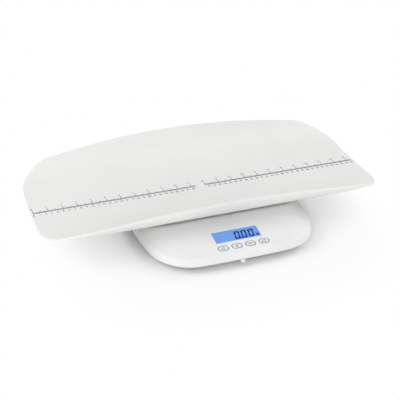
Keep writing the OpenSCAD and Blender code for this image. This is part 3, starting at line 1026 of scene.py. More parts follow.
@dataclass
class Studio:
    """Camera, floor and light as in the photograph.

    Its focal length and offset are in pixels of a picture 400 wide.
    """

    focal: float = 926.29
    picture: float = 400.0
    sensor: float = 36.0
    clip: Flat = (0.05, 50.0)
    azimuth: float = -20.25
    elevation: float = 29.26
    roll: float = 0.58
    offset: Flat = (0.33, -14.93)
    distance: float = 1631.4
    target: Point = (0.0, 34.1, 32.1)
    world_level: float = 0.42
    floor_radius: float = 6000.0
    floor_z: float = -0.1
    floor_white: float = 0.9
    floor_seen: float = 0.085
    shadow_middle: Flat = (0.0, -29.5)
    shadow_half: float = 149.0
    shadow_power: float = 3.2
    shadow_fade: tuple[Flat, ...] = (
        (0.0, 0.0), (0.03, 0.06), (0.10, 0.30), (0.22, 0.5), (0.45, 0.62), (0.75, 0.86), (1.0, 1.0),
    )

    def place_camera(self) -> None:
        """Make the camera and set it as the scene's."""
        data = bpy.data.cameras.new("camera")
        data.sensor_width = self.sensor
        data.lens = self.sensor * self.focal / self.picture
        data.shift_x = -self.offset[0] / self.picture
        data.shift_y = self.offset[1] / self.picture
        data.clip_start, data.clip_end = self.clip
        camera = bpy.data.objects.new("camera", data)
        bpy.context.scene.collection.objects.link(camera)
        turn, roll = math.radians(self.azimuth), math.radians(self.roll)
        back = direction(self.azimuth, self.elevation)
        right = Vector((math.cos(turn), math.sin(turn), 0.0))
        up = back.cross(right)
        rolled = math.cos(roll) * right + math.sin(roll) * up
        risen = -math.sin(roll) * right + math.cos(roll) * up
        matrix = Matrix((rolled, risen, back)).transposed().to_4x4()
        matrix.translation = Vector(self.target) * MM + back * self.distance * MM
        camera.matrix_world = matrix
        bpy.context.scene.camera = camera

    def seen_rays(self, tree: Tree) -> Socket:
        """Tell rays that show the surroundings from those that light things.

        Args:
            tree: The node tree that needs to know.

        Returns:
            1 for rays that show the surroundings, and 0 for the others.
        """
        path = tree.node("LightPath", {}).outputs
        total = path["Is Camera Ray"]
        for name in ("Is Glossy Ray", "Is Transmission Ray"):
            add = tree.node("Math", {0: total, 1: path[name]}, operation="ADD", use_clamp=True)
            total = add.outputs[0]
        return total

    def fade(self, sheet: Sheet) -> Socket:
        """Fade the floor from its own shade, near the base, to plain white.

        Args:
            sheet: The floor's material.

        Returns:
            0 at the base's outline and 1 well away from it.
        """
        away = []
        for axis, middle in zip("XY", self.shadow_middle):
            offset = sheet.maths("SUBTRACT", sheet.axis(axis), middle * MM)
            share = sheet.maths("DIVIDE", sheet.maths("ABSOLUTE", offset), self.shadow_half * MM)
            away.append(sheet.maths("POWER", share, self.shadow_power))
        total = sheet.maths("POWER", sheet.maths("ADD", *away), 1 / self.shadow_power)
        stops = [(place, (level,) * 3) for place, level in self.shadow_fade]
        return sheet.ramp(sheet.maths("SUBTRACT", total, 1.0), stops)

    def lay_floor(self) -> None:
        """Lay a white floor that keeps the object's shadow and is clear from below."""
        floor = primitive(
            "floor", bpy.ops.mesh.primitive_circle_add, vertices=96, fill_type="NGON",
            radius=self.floor_radius * MM, location=(0, 0, self.floor_z * MM),
        )
        sheet = Sheet("floor")
        sheet.nodes.remove(sheet.shader)
        seen = self.seen_rays(sheet)
        white = sheet.maths("ADD", sheet.maths("MULTIPLY", seen, self.floor_seen), self.floor_white)
        matt = sheet.node("BsdfDiffuse", {"Color": white})
        lit = sheet.maths("MULTIPLY", seen, self.fade(sheet))
        above = sheet.mix(lit, matt, sheet.node("Emission", {}))
        from_below = sheet.node("NewGeometry", {}).outputs["Backfacing"]
        sides = sheet.mix(from_below, above, sheet.node("BsdfTransparent", {}))
        sheet.feed(sheet.output.inputs["Surface"], sides.outputs[0])
        floor.data.materials.append(sheet.material)

    def light(self) -> None:
        """Fill the room with soft white light, with a few large softboxes."""
        world = bpy.data.worlds.new("world")
        bpy.context.scene.world = world
        tree = Tree(world)
        shades = [
            tree.node("Background", {"Color": (1, 1, 1, 1), "Strength": strength})
            for strength in (self.world_level, 1.0)
        ]
        mixed = tree.mix(self.seen_rays(tree), *shades)
        tree.node("OutputWorld", {"Surface": mixed.outputs[0]})
        for box in SOFTBOXES:
            box.hang()

    def set_up(self) -> None:
        """Set up the whole studio."""
        bpy.context.scene.view_settings.view_transform = "Standard"
        self.place_camera()
        self.lay_floor()
        self.light()


# ---- Outlines ------------------------------------------------------------------------


@dataclass
class RoundedOutline:
    """A rectangle with round corners and bowed sides, seen from above."""

    half_x: float
    half_y: float
    bow_y: float
    bow_x: float
    corner: float
    steps: int = 60

    def quarter(self, inset: float = 0.0) -> np.ndarray:
        """Draw the quarter from the back's middle to the right end's middle.

        Args:
            inset: How far the outline is drawn in.

        Returns:
            Points in millimetres, with both coordinates positive.
        """
        side = (self.half_x**2 + self.bow_y**2) / (2 * self.bow_y)
        end = (self.half_y**2 + self.bow_x**2) / (2 * self.bow_x)
        side_c = np.array([0.0, self.half_y - side])
        end_c = np.array([self.half_x - end, 0.0])
        line = end_c - side_c
        gap = float(np.hypot(*line))
        first, second = side - self.corner, end - self.corner
        along = (first**2 - second**2 + gap**2) / (2 * gap)
        across = math.sqrt(max(first**2 - along**2, 0.0))
        unit = line / gap
        normal = np.array([unit[1], -unit[0]])
        spots = [side_c + along * unit + sign * across * normal for sign in (1, -1)]
        middle = max(spots, key=lambda spot: spot[0] + spot[1])
        one = math.atan2(*(middle - side_c)[::-1])
        two = math.atan2(*(middle - end_c)[::-1])
        parts = []
        for centre, radius, start, stop in (
            (side_c, side, math.pi / 2, one),
            (middle, self.corner, one, two),
            (end_c, end, two, 0.0),
        ):
            angles = np.linspace(start, stop, self.steps)
            arc = np.stack([np.cos(angles), np.sin(angles)], 1)
            parts.append(centre + (radius - inset) * arc)
        points = np.concatenate(parts)
        keep = np.r_[True, np.hypot(*np.diff(points, axis=0).T) > 1e-6]
        return points[keep]


class QuarterPatch:
    """Fills a four-way symmetric outline with a smooth grid of points."""

    def __init__(self, quarter: np.ndarray) -> None:
        """Split the quarter outline at its corner.

        Args:
            quarter: Outline from (0, y) to (x, 0), in millimetres.
        """
        steps = np.diff(quarter, axis=0)
        length = np.r_[0.0, np.cumsum(np.hypot(steps[:, 0], steps[:, 1]))]
        slope = np.degrees(np.arctan2(-steps[:, 1], steps[:, 0]))
        index = int(np.argmax(slope > 45.0))
        self.corner = quarter[index]
        self.side = (length[: index + 1] / length[index], quarter[: index + 1])
        rest = length[index:] - length[index]
        self.end = (rest / rest[-1], quarter[index:])

    def fill(self, u: np.ndarray, v: np.ndarray) -> np.ndarray:
        """Fill the outline.

        Args:
            u: Places along the long sides, -1 to 1.
            v: Places across, -1 to 1.

        Returns:
            Points in millimetres, len(v) by len(u) by two.
        """
        def walk(table: np.ndarray, points: np.ndarray, share: np.ndarray) -> np.ndarray:
            """Give the points at shares of the way along a part of the outline."""
            return np.stack([np.interp(share, table, points[:, i]) for i in (0, 1)], -1)

        side = walk(*self.side, np.abs(u)) * np.stack([np.sign(u), np.ones(len(u))], -1)
        end = walk(*self.end, 1.0 - np.abs(v)) * np.stack([np.ones(len(v)), np.sign(v)], -1)
        x = side[None, :, 0] + u[None, :] * (end[:, None, 0] - self.corner[0])
        y = v[:, None] * side[None, :, 1] + end[:, None, 1] - v[:, None] * self.corner[1]
        return np.stack([x, y], -1)

    @staticmethod
    def rim(grid: np.ndarray) -> np.ndarray:
        """Walk once round a grid's edge, and back to the first point."""
        return np.concatenate(
            [grid[0, :-1], grid[:-1, -1], grid[-1, :0:-1], grid[:0:-1, 0], grid[:1, 0]]
        )


def eased(count: int, share: float) -> np.ndarray:
    """Space points from -1 to 1, evenly for a share of 0 and closer at the ends up to 1."""
    even = np.linspace(-1, 1, count)
    return (1 - share) * even + share * np.sin(even * math.pi / 2)


def ease_step(value: np.ndarray) -> np.ndarray:
    """Rise smoothly from 0 to 1."""
    clipped = np.clip(value, 0.0, 1.0)
    return clipped * clipped * (3 - 2 * clipped)


def soft_min(first: np.ndarray, second: np.ndarray, blend: float) -> np.ndarray:
    """Take the lower of two heights, rounded over a blend where they meet."""
    share = np.clip(0.5 + 0.5 * (second - first) / blend, 0.0, 1.0)
    return second * (1 - share) + first * share - blend * share * (1 - share)


def nearest(points: np.ndarray, line: np.ndarray) -> tuple[np.ndarray, np.ndarray]:
    """Find the nearest point of a closed line to each of many points.

    Args:
        points: Points, n by two.
        line: Points of the line in order.

    Returns:
        The distances, and the second coordinates of the nearest points.
    """
    best, found = np.full(len(points), 1e9), np.zeros(len(points))
    for start, stop in zip(line[:-1], line[1:]):
        way = stop - start
        size = max(float(way @ way), 1e-12)
        share = np.clip((points - start) @ way / size, 0.0, 1.0)
        spot = start + share[:, None] * way
        away = np.hypot(*(points - spot).T)
        found = np.where(away < best, spot[:, 1], found)
        best = np.minimum(best, away)
    return best, found


def outward(line: np.ndarray) -> np.ndarray:
    """Give the outward direction at each point of a closed line.

    Args:
        line: Points in order, the last one equal to the first.

    Returns:
        Unit vectors.
    """
    loop = line[:-1]
    way = np.roll(loop, -1, 0) - np.roll(loop, 1, 0)
    normal = np.stack([way[:, 1], -way[:, 0]], 1)
    normal /= np.hypot(normal[:, 0], normal[:, 1])[:, None]
    if ((loop - loop.mean(0)) * normal).sum() < 0:
        normal = -normal
    return np.concatenate([normal, normal[:1]])


# ---- Tray ----------------------------------------------------------------------------


@dataclass
class Tray:
    """The trough-shaped tray, with the posts under it."""

    middle_y: float = 34.5
    floor_z: float = 33.0
    length: float = 600.0
    half_width: float = 151.9
    taper: float = 21.3
    end_bow: float = 4.8
    corner: float = 75.6
    rise: float = 45.5
    blend: float = 6.0
    arch: float = 1705.0
    wall: float = 3.3
    lip: float = 1.2
    floor_radius: float = 934.0
    side_radius: float = 58.5
    side_play: float = 0.5
    side_hair: float = 0.01
    knee: float = 96.3
    lift: float = 4.1
    lift_from: Flat = (200.0, 45.0)
    lift_over: Flat = (100.0, 80.0)
    side_from: float = 60.0
    rim_samples: int = 500
    columns: tuple[int, float] = (141, 0.45)
    rows: tuple[int, float] = (73, 0.55)
    stud_pitch: Flat = (180.0, 110.0)
    stud_d: float = 14.0
    stud_low: float = 25.5
    collar_d: float = 12.0
    collar_low: float = 16.0
    collar_setback: float = 80.0
    post_sunk: float = 1.5
    post_edge: float = 0.4

    def side_centre(self) -> Flat:
        """Give the centre of the long side's arc, across and up.

        Returns:
            Its place from the tray's middle line and floor.
        """
        y = self.knee * (1 - self.side_radius / self.floor_radius)
        drop = (self.floor_radius - self.side_radius) ** 2 - y * y
        return y, self.floor_radius - math.sqrt(drop)

    def stud_places(self) -> list[Flat]:
        """Give the places of the four studs, along and across from the tray's middle."""
        along, across = self.stud_pitch
        return [(x * along / 2, y * across / 2) for x in (-1, 1) for y in (-1, 1)]

    def inside(self, x: np.ndarray, y: np.ndarray) -> np.ndarray:
        """Give the height of the inner face over the tray floor.

        Args:
            x: Places along the tray.
            y: Places across it, from its middle line.

        Returns:
            Heights in millimetres.
        """
        centre_y, centre_z = self.side_centre()
        off = np.abs(y)
        flat = self.floor_radius - np.sqrt(self.floor_radius**2 - np.minimum(off, self.knee) ** 2)
        steepest = centre_y + self.side_radius - self.side_hair
        out = np.clip(off, self.knee, steepest) - centre_y
        bend = centre_z - np.sqrt(np.maximum(self.side_radius**2 - out**2, 0.0))
        corner = np.prod([
            ease_step((place - start) / over)
            for place, start, over in zip((np.abs(x), off), self.lift_from, self.lift_over)
        ], axis=0)
        return np.where(off < self.knee, flat, bend) + self.lift * corner

    def rim_outline(self) -> np.ndarray:
        """Draw a quarter of the inner rim, from its back's middle to its end.

        Returns:
            Points in millimetres.
        """
        x, y = RoundedOutline(
            self.length / 2, self.half_width, self.taper, self.end_bow, self.corner
        ).quarter().T
        steepest = self.side_centre()[0] + self.side_radius - self.side_play
        widths = np.linspace(self.side_from, steepest, self.rim_samples)
        reached = []
        for along in x:
            top = self.rise - along * along / (2 * self.arch)
            inner = self.inside(np.full(widths.shape, along), widths)
            reached.append(float(np.interp(top, inner, widths)))
        limit = soft_min(y, np.array(reached), self.blend)
        return np.stack([x, np.where(y > self.side_from, limit, y)], 1)

    def post(self, x: float, y: float, across: float, low: float) -> Piece:
        """Add one post under the tray.

        Args:
            x: Its place along the tray.
            y: Its place across, from the tray's middle line.
            across: Its diameter.
            low: Height of its lower end above the ground.

        Returns:
            The post.
        """
        top = float(self.inside(np.array([x]), np.array([y]))[0]) + self.floor_z - self.post_sunk
        post = cylinder("post", across / 2, (x, y + self.middle_y, low), top - low)
        round_edges(post, self.post_edge, segments=2, angle=60)
        return post

    def build(self) -> Piece:
        """Make the tray with its wall, its rounded lip and its posts.

        Returns:
            The tray.
        """
        patch = QuarterPatch(self.rim_outline())
        plan = patch.fill(eased(*self.columns), eased(*self.rows))
        x, y = plan[..., 0], plan[..., 1]
        points = np.dstack([x, y + self.middle_y, self.inside(x, y) + self.floor_z])
        shell = grid_piece("tray_shell", points)
        give_wall(shell, self.wall)
        round_edges(shell, self.lip, segments=4, angle=50)
        posts = [self.post(*place, self.stud_d, self.stud_low) for place in self.stud_places()]
        posts.append(self.post(0.0, -self.collar_setback, self.collar_d, self.collar_low))
        combine(shell, posts, Solid.JOIN)
        smooth(shell, angle=30)
        return shell


@dataclass(frozen=True)
class Mark:
    """One kind of stroke of the ruler."""

    height: float
    width: float

    def draw(self, x: float, up: int) -> Piece:
        """Draw the stroke from the ruler's line, upwards for 1 and downwards for -1."""
        return flat_block("stroke", (self.width, self.height), (x, up * self.height / 2))


@dataclass(frozen=True)
class Scale:
    """One side of the ruler: its unit, its strokes and where its numbers stand."""

    unit: float
    steps: int
    count: int
    up: int
    small: Mark
    middle: Mark
    tall: Mark
    number_y: float
    number_shift: float = 0.0

    def strokes(self) -> Piece:
        """Draw the strokes: one unit, repeated along the tray.

        Returns:
            The strokes, with the first one at the origin.
        """
        step, half = self.unit / self.steps, self.steps // 2
        run = self.small.draw(step, self.up)
        repeat(run, half - 1, step)
        unit = merge([
            self.tall.draw(0.0, self.up), self.middle.draw(half * step, self.up),
            copy_to(run, (half * step, 0, 0)), run,
        ], "strokes")
        repeat(unit, self.count, self.unit)
        return unit


CENTIMETRES = Scale(
    unit=10.0, steps=10, count=60, up=-1, number_y=-8.6,
    small=Mark(2.4, 0.5), middle=Mark(3.2, 0.6), tall=Mark(4.4, 0.8),
)
INCHES = Scale(
    unit=25.4, steps=16, count=24, up=1, number_y=13.2, number_shift=1.0,
    small=Mark(2.1, 0.6), middle=Mark(5.2, 0.7), tall=Mark(8.8, 0.9),
)


@dataclass
class Ruler:
    """The centimetre and inch scales printed along the tray floor."""

    tray: Tray
    line_y: float = -2.2
    start_x: float = -296.5
    stop_x: float = 296.2
    gap: Flat = (-9.6, 8.2)
    line_width: float = 0.9
    number_size: float = 5.0
    round_number_size: float = 6.0
    bold: float = 0.12
    skin: float = 0.03
    ink: float = 0.04

    def lines(self) -> list[Piece]:
        """Draw the two halves of the ruler's line.

        Returns:
            The halves.
        """
        ends = ((self.start_x, self.gap[0]), (self.gap[1], self.stop_x))
        return [
            flat_block("line", (stop - start, self.line_width), ((start + stop) / 2, 0.0))
            for start, stop in ends
        ]

    def number(self, value: int, x: float, y: float) -> Piece:
        """Write one plain number, a round one a little larger.

        Args:
            value: The number.
            x: Its middle along the tray.
            y: Its middle across, from the ruler's line.

        Returns:
            The number as a mesh.
        """
        deselect()
        bpy.ops.object.text_add(location=(x * MM, y * MM, 0.0))
        text = fresh("number").data
        text.body = str(value)
        text.size = (self.number_size if value % 5 else self.round_number_size) * MM
        text.offset = self.bold * MM
        text.resolution_u = 3
        text.align_x = text.align_y = "CENTER"
        take_up(bpy.context.active_object)
        bpy.ops.object.convert(target="MESH")
        set_down(bpy.context.active_object)
        return bpy.context.active_object

    def numbers(self, scale: Scale) -> list[Piece]:
        """Write the numbers of one side.

        Args:
            scale: The side.

        Returns:
            The numbers.
        """
        written = []
        for value in range(scale.count):
            x = self.start_x + scale.unit * value
            if not self.gap[0] < x < self.gap[1]:
                written.append(self.number(value, x - scale.number_shift, scale.number_y))
        return written

    def lay(self, points: np.ndarray) -> np.ndarray:
        """Lay the print on the tray floor.

        Args:
            points: Its points, about the ruler's line.

        Returns:
            Their places on the tray.
        """
        laid = points.copy()
        across = points[:, 1] + self.line_y
        laid[:, 1] = across + self.tray.middle_y
        laid[:, 2] += self.tray.floor_z + self.tray.inside(points[:, 0], across) + self.skin
        return laid

    def build(self) -> Piece:
        """Print the ruler on the tray floor.

        Returns:
            The print, as one thin skin.
        """
        left, right = self.gap
        strokes = merge([side.strokes() for side in (CENTIMETRES, INCHES)], "strokes")
        move(strokes, (self.start_x, 0, 0))
        remove_faces(strokes, lambda spot: left < spot.x < right or spot.x > self.stop_x)
        pieces = [strokes, *self.lines(), *self.numbers(CENTIMETRES), *self.numbers(INCHES)]
        ruler = merge(pieces, "ruler_print")
        give_wall(ruler, self.ink, side=1)
        reshape(ruler, self.lay)
        return ruler


# ---- Base ----------------------------------------------------------------------------


@dataclass
class Console:
    """The sloping face of the base, and what is measured along it."""

    front_y: float = -179.5
    front_z: float = 24.5
    tilt: float = 8.0
    display_setback: float = 44.5

    @property
    def slope(self) -> float:
        """Rise per millimetre of depth."""
        return math.tan(math.radians(self.tilt))

    def matrix(self) -> Matrix:
        """Place the display's middle, with X along the keys and Z off the face.

        Returns:
            Its place and turn, in metres.
        """
        turn = math.radians(self.tilt)
        middle = Vector((
            0.0,
            self.front_y + self.display_setback * math.cos(turn),
            self.front_z + self.display_setback * math.sin(turn),
        ))
        return Matrix.Translation(middle * MM) @ Matrix.Rotation(turn, 4, "X")

    def lay_on(self, piece: Piece) -> Piece:
        """Lay a piece, made about the origin, on the console.

        Args:
            piece: The piece.

        Returns:
            The same piece.
        """
        piece.data.transform(self.matrix())
        piece.data.update()
        return piece


@dataclass
class TopCover:
    """The white top cover of the base."""

    console: Console
    tray: Tray
    half_width: float = 148.0
    half_depth: float = 150.0
    middle_y: float = -29.5
    corner: float = 72.0
    side_bow: float = 22.0
    front_bow: float = 5.0
    seam_z: float = 12.6
    lean: float = 1.5
    edge: float = 3.0
    edge_steps: int = 6
    wall_shares: tuple[float, ...] = (0.33, 0.66, 1.0)
    columns: tuple[int, float] = (97, 0.25)
    rows: tuple[int, float] = (121, 0.25)
    crown: float = 40.0
    crown_power: float = 2.2
    wall: float = 2.5
    weld_gap: float = 0.002
    seat_gap: float = 6.0
    seat_play: float = 0.5
    seat_blend: float = 2.5
    ridge_back: float = 120.0
    ridge_blend: float = 3.0
    back_slope: float = -0.035
    window: Point = (77.9, 26.9, 1.5)
    window_cut: float = 20.0
    ledge: float = 2.7
    opening_cut: Flat = (-12.0, 30.0)
    key_hole: Flat = (18.6, 12.4)
    key_cut: Flat = (-6.0, 20.0)
    key_places: tuple[float, ...] = (-32.4, -9.2, 14.0, 37.2)
    key_drop: float = 26.8
    well_d: float = 18.0
    well_z: float = 22.5
    well_wall: float = 2.2
    well_height: float = 6.0
    well_cut: float = 30.0
    hole_d: float = 14.0
    hole_cut: Flat = (5.0, 60.0)

    @property
    def edge_z(self) -> float:
        """Height of the level upper edge."""
        return self.console.front_z + (self.lean + self.edge) * self.console.slope

    def slopes(self, y: np.ndarray) -> np.ndarray:
        """Follow the console's plane and, behind the ridge, the back slope.

        Args:
            y: Places along the base's depth.

        Returns:
            Heights in millimetres.
        """
        ridge_y = self.tray.middle_y - self.ridge_back
        ridge_z = self.console.front_z + (ridge_y - self.console.front_y) * self.console.slope
        front = ridge_z + (y - ridge_y) * self.console.slope
        back = ridge_z + (y - ridge_y) * self.back_slope
        return soft_min(front, back, self.ridge_blend)

    def seat(self, across: np.ndarray) -> np.ndarray:
        """Give the height of the hollow that the tray lies over.

        Args:
            across: Distance from the tray's middle line.

        Returns:
            Heights in millimetres.
        """
        centre_y, centre_z = self.tray.side_centre()
        big = self.tray.floor_radius + self.seat_gap
        small = self.tray.side_radius + self.seat_gap
        off = np.abs(across)
        flat = self.tray.floor_radius - np.sqrt(big**2 - np.minimum(off, centre_y) ** 2)
        out = np.clip(off - centre_y, 0.0, small - self.seat_play)
        bend = centre_z - np.sqrt(small**2 - out**2)
        return self.tray.floor_z + np.where(off < centre_y, flat, bend)

    def top(self, y: np.ndarray, inset: np.ndarray, edge_y: np.ndarray) -> np.ndarray:
        """Give the height of the top face.

        The edge is level, and the face rises from it over the crown to the slopes.

        Args:
            y: Places along the base's depth.
            inset: Distance in from the upper edge.
            edge_y: Place along the depth of the nearest point of that edge.

        Returns:
            Heights in millimetres.
        """
        left = (1.0 - np.clip(inset / self.crown, 0.0, 1.0)) ** self.crown_power
        crowned = self.slopes(y) - left * (self.slopes(edge_y) - self.edge_z)
        return soft_min(crowned, self.seat(y - self.tray.middle_y), self.seat_blend)

    def rings(self, rim: np.ndarray) -> np.ndarray:
        """Draw the rings of the wall, from the top's rim over the edge to the seam.

        Args:
            rim: The rim of the top, from its first point back to it.

        Returns:
            The rings, one after the other.
        """
        out = outward(rim[:, :2])
        rings = [rim]
        for step in range(1, self.edge_steps + 1):
            turn = math.pi / 2 * step / self.edge_steps
            ring = rim.copy()
            ring[:, :2] += out * self.edge * math.sin(turn)
            ring[:, 2] -= self.edge * (1 - math.cos(turn))
            rings.append(ring)
        last = rings[-1]
        for share in self.wall_shares:
            ring = last.copy()
            ring[:, :2] += out * self.lean * share
            ring[:, 2] += (self.seam_z - last[:, 2]) * share
            rings.append(ring)
        return np.array(rings)

    def build_skin(self) -> Piece:
        """Make the outer skin from a grid for the top and one for the wall.

        Returns:
            The skin, open below.
        """
        outline = RoundedOutline(
            self.half_width, self.half_depth, self.front_bow, self.side_bow, self.corner
        )
        patch = QuarterPatch(outline.quarter(self.lean + self.edge))
        plan = patch.fill(eased(*self.columns), eased(*self.rows))
        x, y = plan[..., 0], plan[..., 1] + self.middle_y
        inset, edge_y = (
            part.reshape(y.shape) for part in nearest(plan.reshape(-1, 2), patch.rim(plan))
        )
        surface = np.dstack([x, y, self.top(y, inset, edge_y + self.middle_y)])
        top = grid_piece("cover_top", surface)
        wall = grid_piece("cover_wall", self.rings(patch.rim(surface)))
        skin = merge([top, wall], "top_cover_shell")
        weld(skin, self.weld_gap)
        return skin

    def cutters(self) -> list[Piece]:
        """Make the solids that cut the window's recess, its opening and the key holes.

        Returns:
            The solids, laid on the console.
        """
        wide, deep, sunk = self.window
        opening = (wide - 2 * self.ledge, deep - 2 * self.ledge, self.opening_cut[1])
        cuts = [
            block("cut", (wide, deep, self.window_cut), (0, 0, -sunk)),
            block("cut", opening, (0, 0, self.opening_cut[0])),
        ]
        low, height = self.key_cut
        for x in self.key_places:
            cuts.append(slot_block("cut", self.key_hole, (x, -self.key_drop, low), height))
        return [self.console.lay_on(cut) for cut in cuts]

    def build(self) -> Piece:
        """Make the top cover.

        Returns:
            The cover.
        """
        cover = self.build_skin()
        give_wall(cover, self.wall)
        reshape(cover, lambda points: np.maximum(points, [-np.inf, -np.inf, self.seam_z]))
        radius, wells, holes = self.well_d / 2, [], []
        for x, y in self.tray.stud_places():
            place = (x, self.tray.middle_y + y)
            low = (*place, self.well_z - self.well_wall)
            wells.append(cylinder("well", radius + self.well_wall, low, self.well_height))
            holes.append(cylinder("hole", radius, (*place, self.well_z), self.well_cut))
        low = (0, self.tray.middle_y - self.tray.collar_setback, self.hole_cut[0])
        holes.append(cylinder("hole", self.hole_d / 2, low, self.hole_cut[1]))
        combine(cover, wells, Solid.JOIN)
        combine(cover, holes + self.cutters(), Solid.CUT)
        smooth(cover, angle=32)
        return cover


# ---- Display -------------------------------------------------------------------------


class Segment(Enum):
    """The bars of a nought: -1 left, 0 level or 1 right, and 1 upper or -1 lower."""

    TOP = (0, 1)
    UPPER_RIGHT = (1, 1)
    LOWER_RIGHT = (1, -1)
    BOTTOM = (0, -1)
    LOWER_LEFT = (-1, -1)
    UPPER_LEFT = (-1, 1)


@dataclass
class Display:
    """The lit panel with its digits."""

    console: Console
    digit: Flat = (9.3, 18.3)
    stroke: float = 2.85
    gap: float = 0.15
    dot: float = 2.1
    lean: float = 0.13
    middles: tuple[float, ...] = (1.1, 13.0, 25.2)
    middle_w: float = -0.9
    unit_place: Flat = (34.7, -6.9)
    weight: tuple[Flat, ...] = ((-3.1, -2.1), (3.1, -2.1), (2.0, 1.2), (-2.0, 1.2))
    ring_radius: float = 1.3
    ring_line: float = 0.6
    ring_up: float = 1.9
    window: Flat = (77.4, 26.4)
    window_edge: float = 0.25
    window_sunk: float = 0.05
    window_gap: float = 0.02
    corner: float = 0.8
    deep: float = 1.48
    film: float = 0.4
    thickness: float = 0.08
    skin: float = 0.01

    @property
    def face(self) -> float:
        """Height of the film's upper face."""
        return self.film - self.deep

    def bar(self, which: Segment) -> list[Flat]:
        """Draw one segment about the digit's middle.

        Args:
            which: The segment.

        Returns:
            Its corners in order.
        """
        side, high = which.value
        half_x, half_y = self.digit[0] / 2, self.digit[1] / 2
        w, g = self.stroke, self.gap
        if side == 0:
            ends = (-half_x + g, half_x - g, half_x - w - g, -half_x + w + g)
            return list(zip(ends, (high * half_y,) * 2 + (high * (half_y - w),) * 2))
        return [
            (side * half_x, high * (half_y - g)),
            (side * (half_x - w), high * (half_y - w - g)),
            (side * (half_x - w), high * (w / 2 + g)),
            (side * (half_x - w / 2), high * g),
            (side * half_x, high * g * 2),
        ]

    def build_nought(self) -> Piece:
        """Make one nought from its six segments, leaning to the right.

        Returns:
            The nought, flat and about its middle.
        """
        nought = merge([flat_outline("segment", self.bar(which)) for which in Segment], "nought")
        reshape(nought, lambda points: points + np.outer(points[:, 1], [self.lean, 0.0, 0.0]))
        return nought

    def unit_mark(self) -> list[Piece]:
        """Draw a small weight in place of the unit.

        Returns:
            Its body and its ring.
        """
        ring = flat_disc("weight ring", self.ring_radius, sides=16)
        hollow(ring, self.ring_line)
        move(ring, (0.0, self.ring_up, 0.0))
        mark = [flat_outline("weight body", self.weight), ring]
        for part in mark:
            move(part, (*self.unit_place, 0.0))
        return mark

    def build_digits(self) -> Piece:
        """Make the dark parts of the display.

        Returns:
            The segments, as thin plates on the film.
        """
        nought = self.build_nought()
        first, *others = ((middle, self.middle_w, 0.0) for middle in self.middles)
        parts = [copy_to(nought, place) for place in others]
        move(nought, first)
        low = self.middle_w - self.digit[1] / 2
        across = (self.middles[0] + self.middles[1]) / 2 - self.lean * self.digit[1] / 2
        dot = flat_block("dot", (self.dot, self.dot), (across, low + self.dot / 2))
        digits = merge([nought, *parts, dot, *self.unit_mark()], "lcd_digits")
        give_wall(digits, self.thickness, side=1)
        move(digits, (0.0, 0.0, self.face + self.skin))
        return self.console.lay_on(digits)

    def build_film(self) -> Piece:
        """Make the lit film that shows through the whole window.

        Returns:
            The film, with slightly rounded corners.
        """
        film = block("lcd_film", (*self.window, self.film), (0, 0, -self.deep))
        round_upright(film, self.corner)
        return self.console.lay_on(film)

    def build_window(self) -> Piece:
        """Make the clear window over the film.

        Returns:
            The window, with its upper edge eased.
        """
        low = self.face + self.thickness + self.window_gap
        pane = block("window_pane", (*self.window, -low - self.window_sunk), (0, 0, low))
        round_upright(pane, self.corner)
        round_edges(pane, self.window_edge, segments=3, angle=60)
        return self.console.lay_on(pane)


# ---- Keys ----------------------------------------------------------------------------


class Icon(Enum):
    """What is printed on a key."""

    POWER = "power"
    HOLD = "hold"
    TARE = "tare"
    UNIT = "unit"


@dataclass
class IconPen:
    """Draws the icons, flat and about a key's middle."""

    line: float = 0.85
    power_radius: float = 2.9
    power_opening: float = 0.6
    power_bar: Flat = (3.0, 1.9)
    hold_bar: Flat = (1.1, 4.8)
    hold_x: float = 1.3
    tare_radius: float = 2.1
    tare_tip: float = 2.7
    tare_bar: Flat = (1.6, 4.9)
    unit_bar: Flat = (6.0, 0.7)
    unit_tip: float = 3.8
    unit_y: float = 1.5
    head: Flat = (1.6, 1.2)

    def arrow(self, tip: float, way: int, y: float = 0.0) -> Piece:
        """Draw an arrow head.

        Args:
            tip: Place of its tip along the key.
            way: 1 when it points right, -1 when it points left.
            y: Its place across the key.

        Returns:
            The head.
        """
        back, half = tip - way * self.head[0], self.head[1]
        return flat_outline("arrow", [(tip, y), (back, y + half), (back, y - half)])

    def bar(self, size: Flat, x: float, y: float = 0.0) -> Piece:
        """Draw a bar about a point."""
        return flat_block("bar", size, (x, y))

    def circle(self, radius: float) -> Piece:
        """Draw a circle about the key's middle.

        Args:
            radius: Its outer radius.

        Returns:
            The circle.
        """
        circle = flat_disc("circle", radius, sides=32)
        hollow(circle, self.line)
        return circle

    def power(self) -> list[Piece]:
        """Draw a circle that is open above, with a bar in the opening.

        Returns:
            The icon's parts.
        """
        circle = self.circle(self.power_radius)
        remove_faces(circle, lambda spot: abs(math.atan2(spot.x, spot.y)) < self.power_opening)
        return [circle, self.bar((self.line, self.power_bar[0]), 0.0, self.power_bar[1])]

    def hold(self) -> list[Piece]:
        """Draw two upright bars."""
        return [self.bar(self.hold_bar, x) for x in (-self.hold_x, self.hold_x)]

    def tare(self) -> list[Piece]:
        """Draw a circle between two arrows that point at it.

        Returns:
            The icon's parts.
        """
        parts, (length, middle) = [self.circle(self.tare_radius)], self.tare_bar
        for side in (-1, 1):
            parts.append(self.arrow(side * self.tare_tip, -side))
            parts.append(self.bar((length, self.line), side * middle))
        return parts

    def unit(self) -> list[Piece]:
        """Draw two arrows, one back and one forth.

        Returns:
            The icon's parts.
        """
        parts, (length, middle) = [], self.unit_bar
        for side in (-1, 1):
            parts.append(self.bar((length, self.line), -side * middle, side * self.unit_y))
            parts.append(self.arrow(side * self.unit_tip, side, side * self.unit_y))
        return parts

    def draw(self, icon: Icon) -> list[Piece]:
        """Draw the icon that is asked for."""
        drawings = dict(zip(Icon, (self.power, self.hold, self.tare, self.unit)))
        return drawings[icon]()


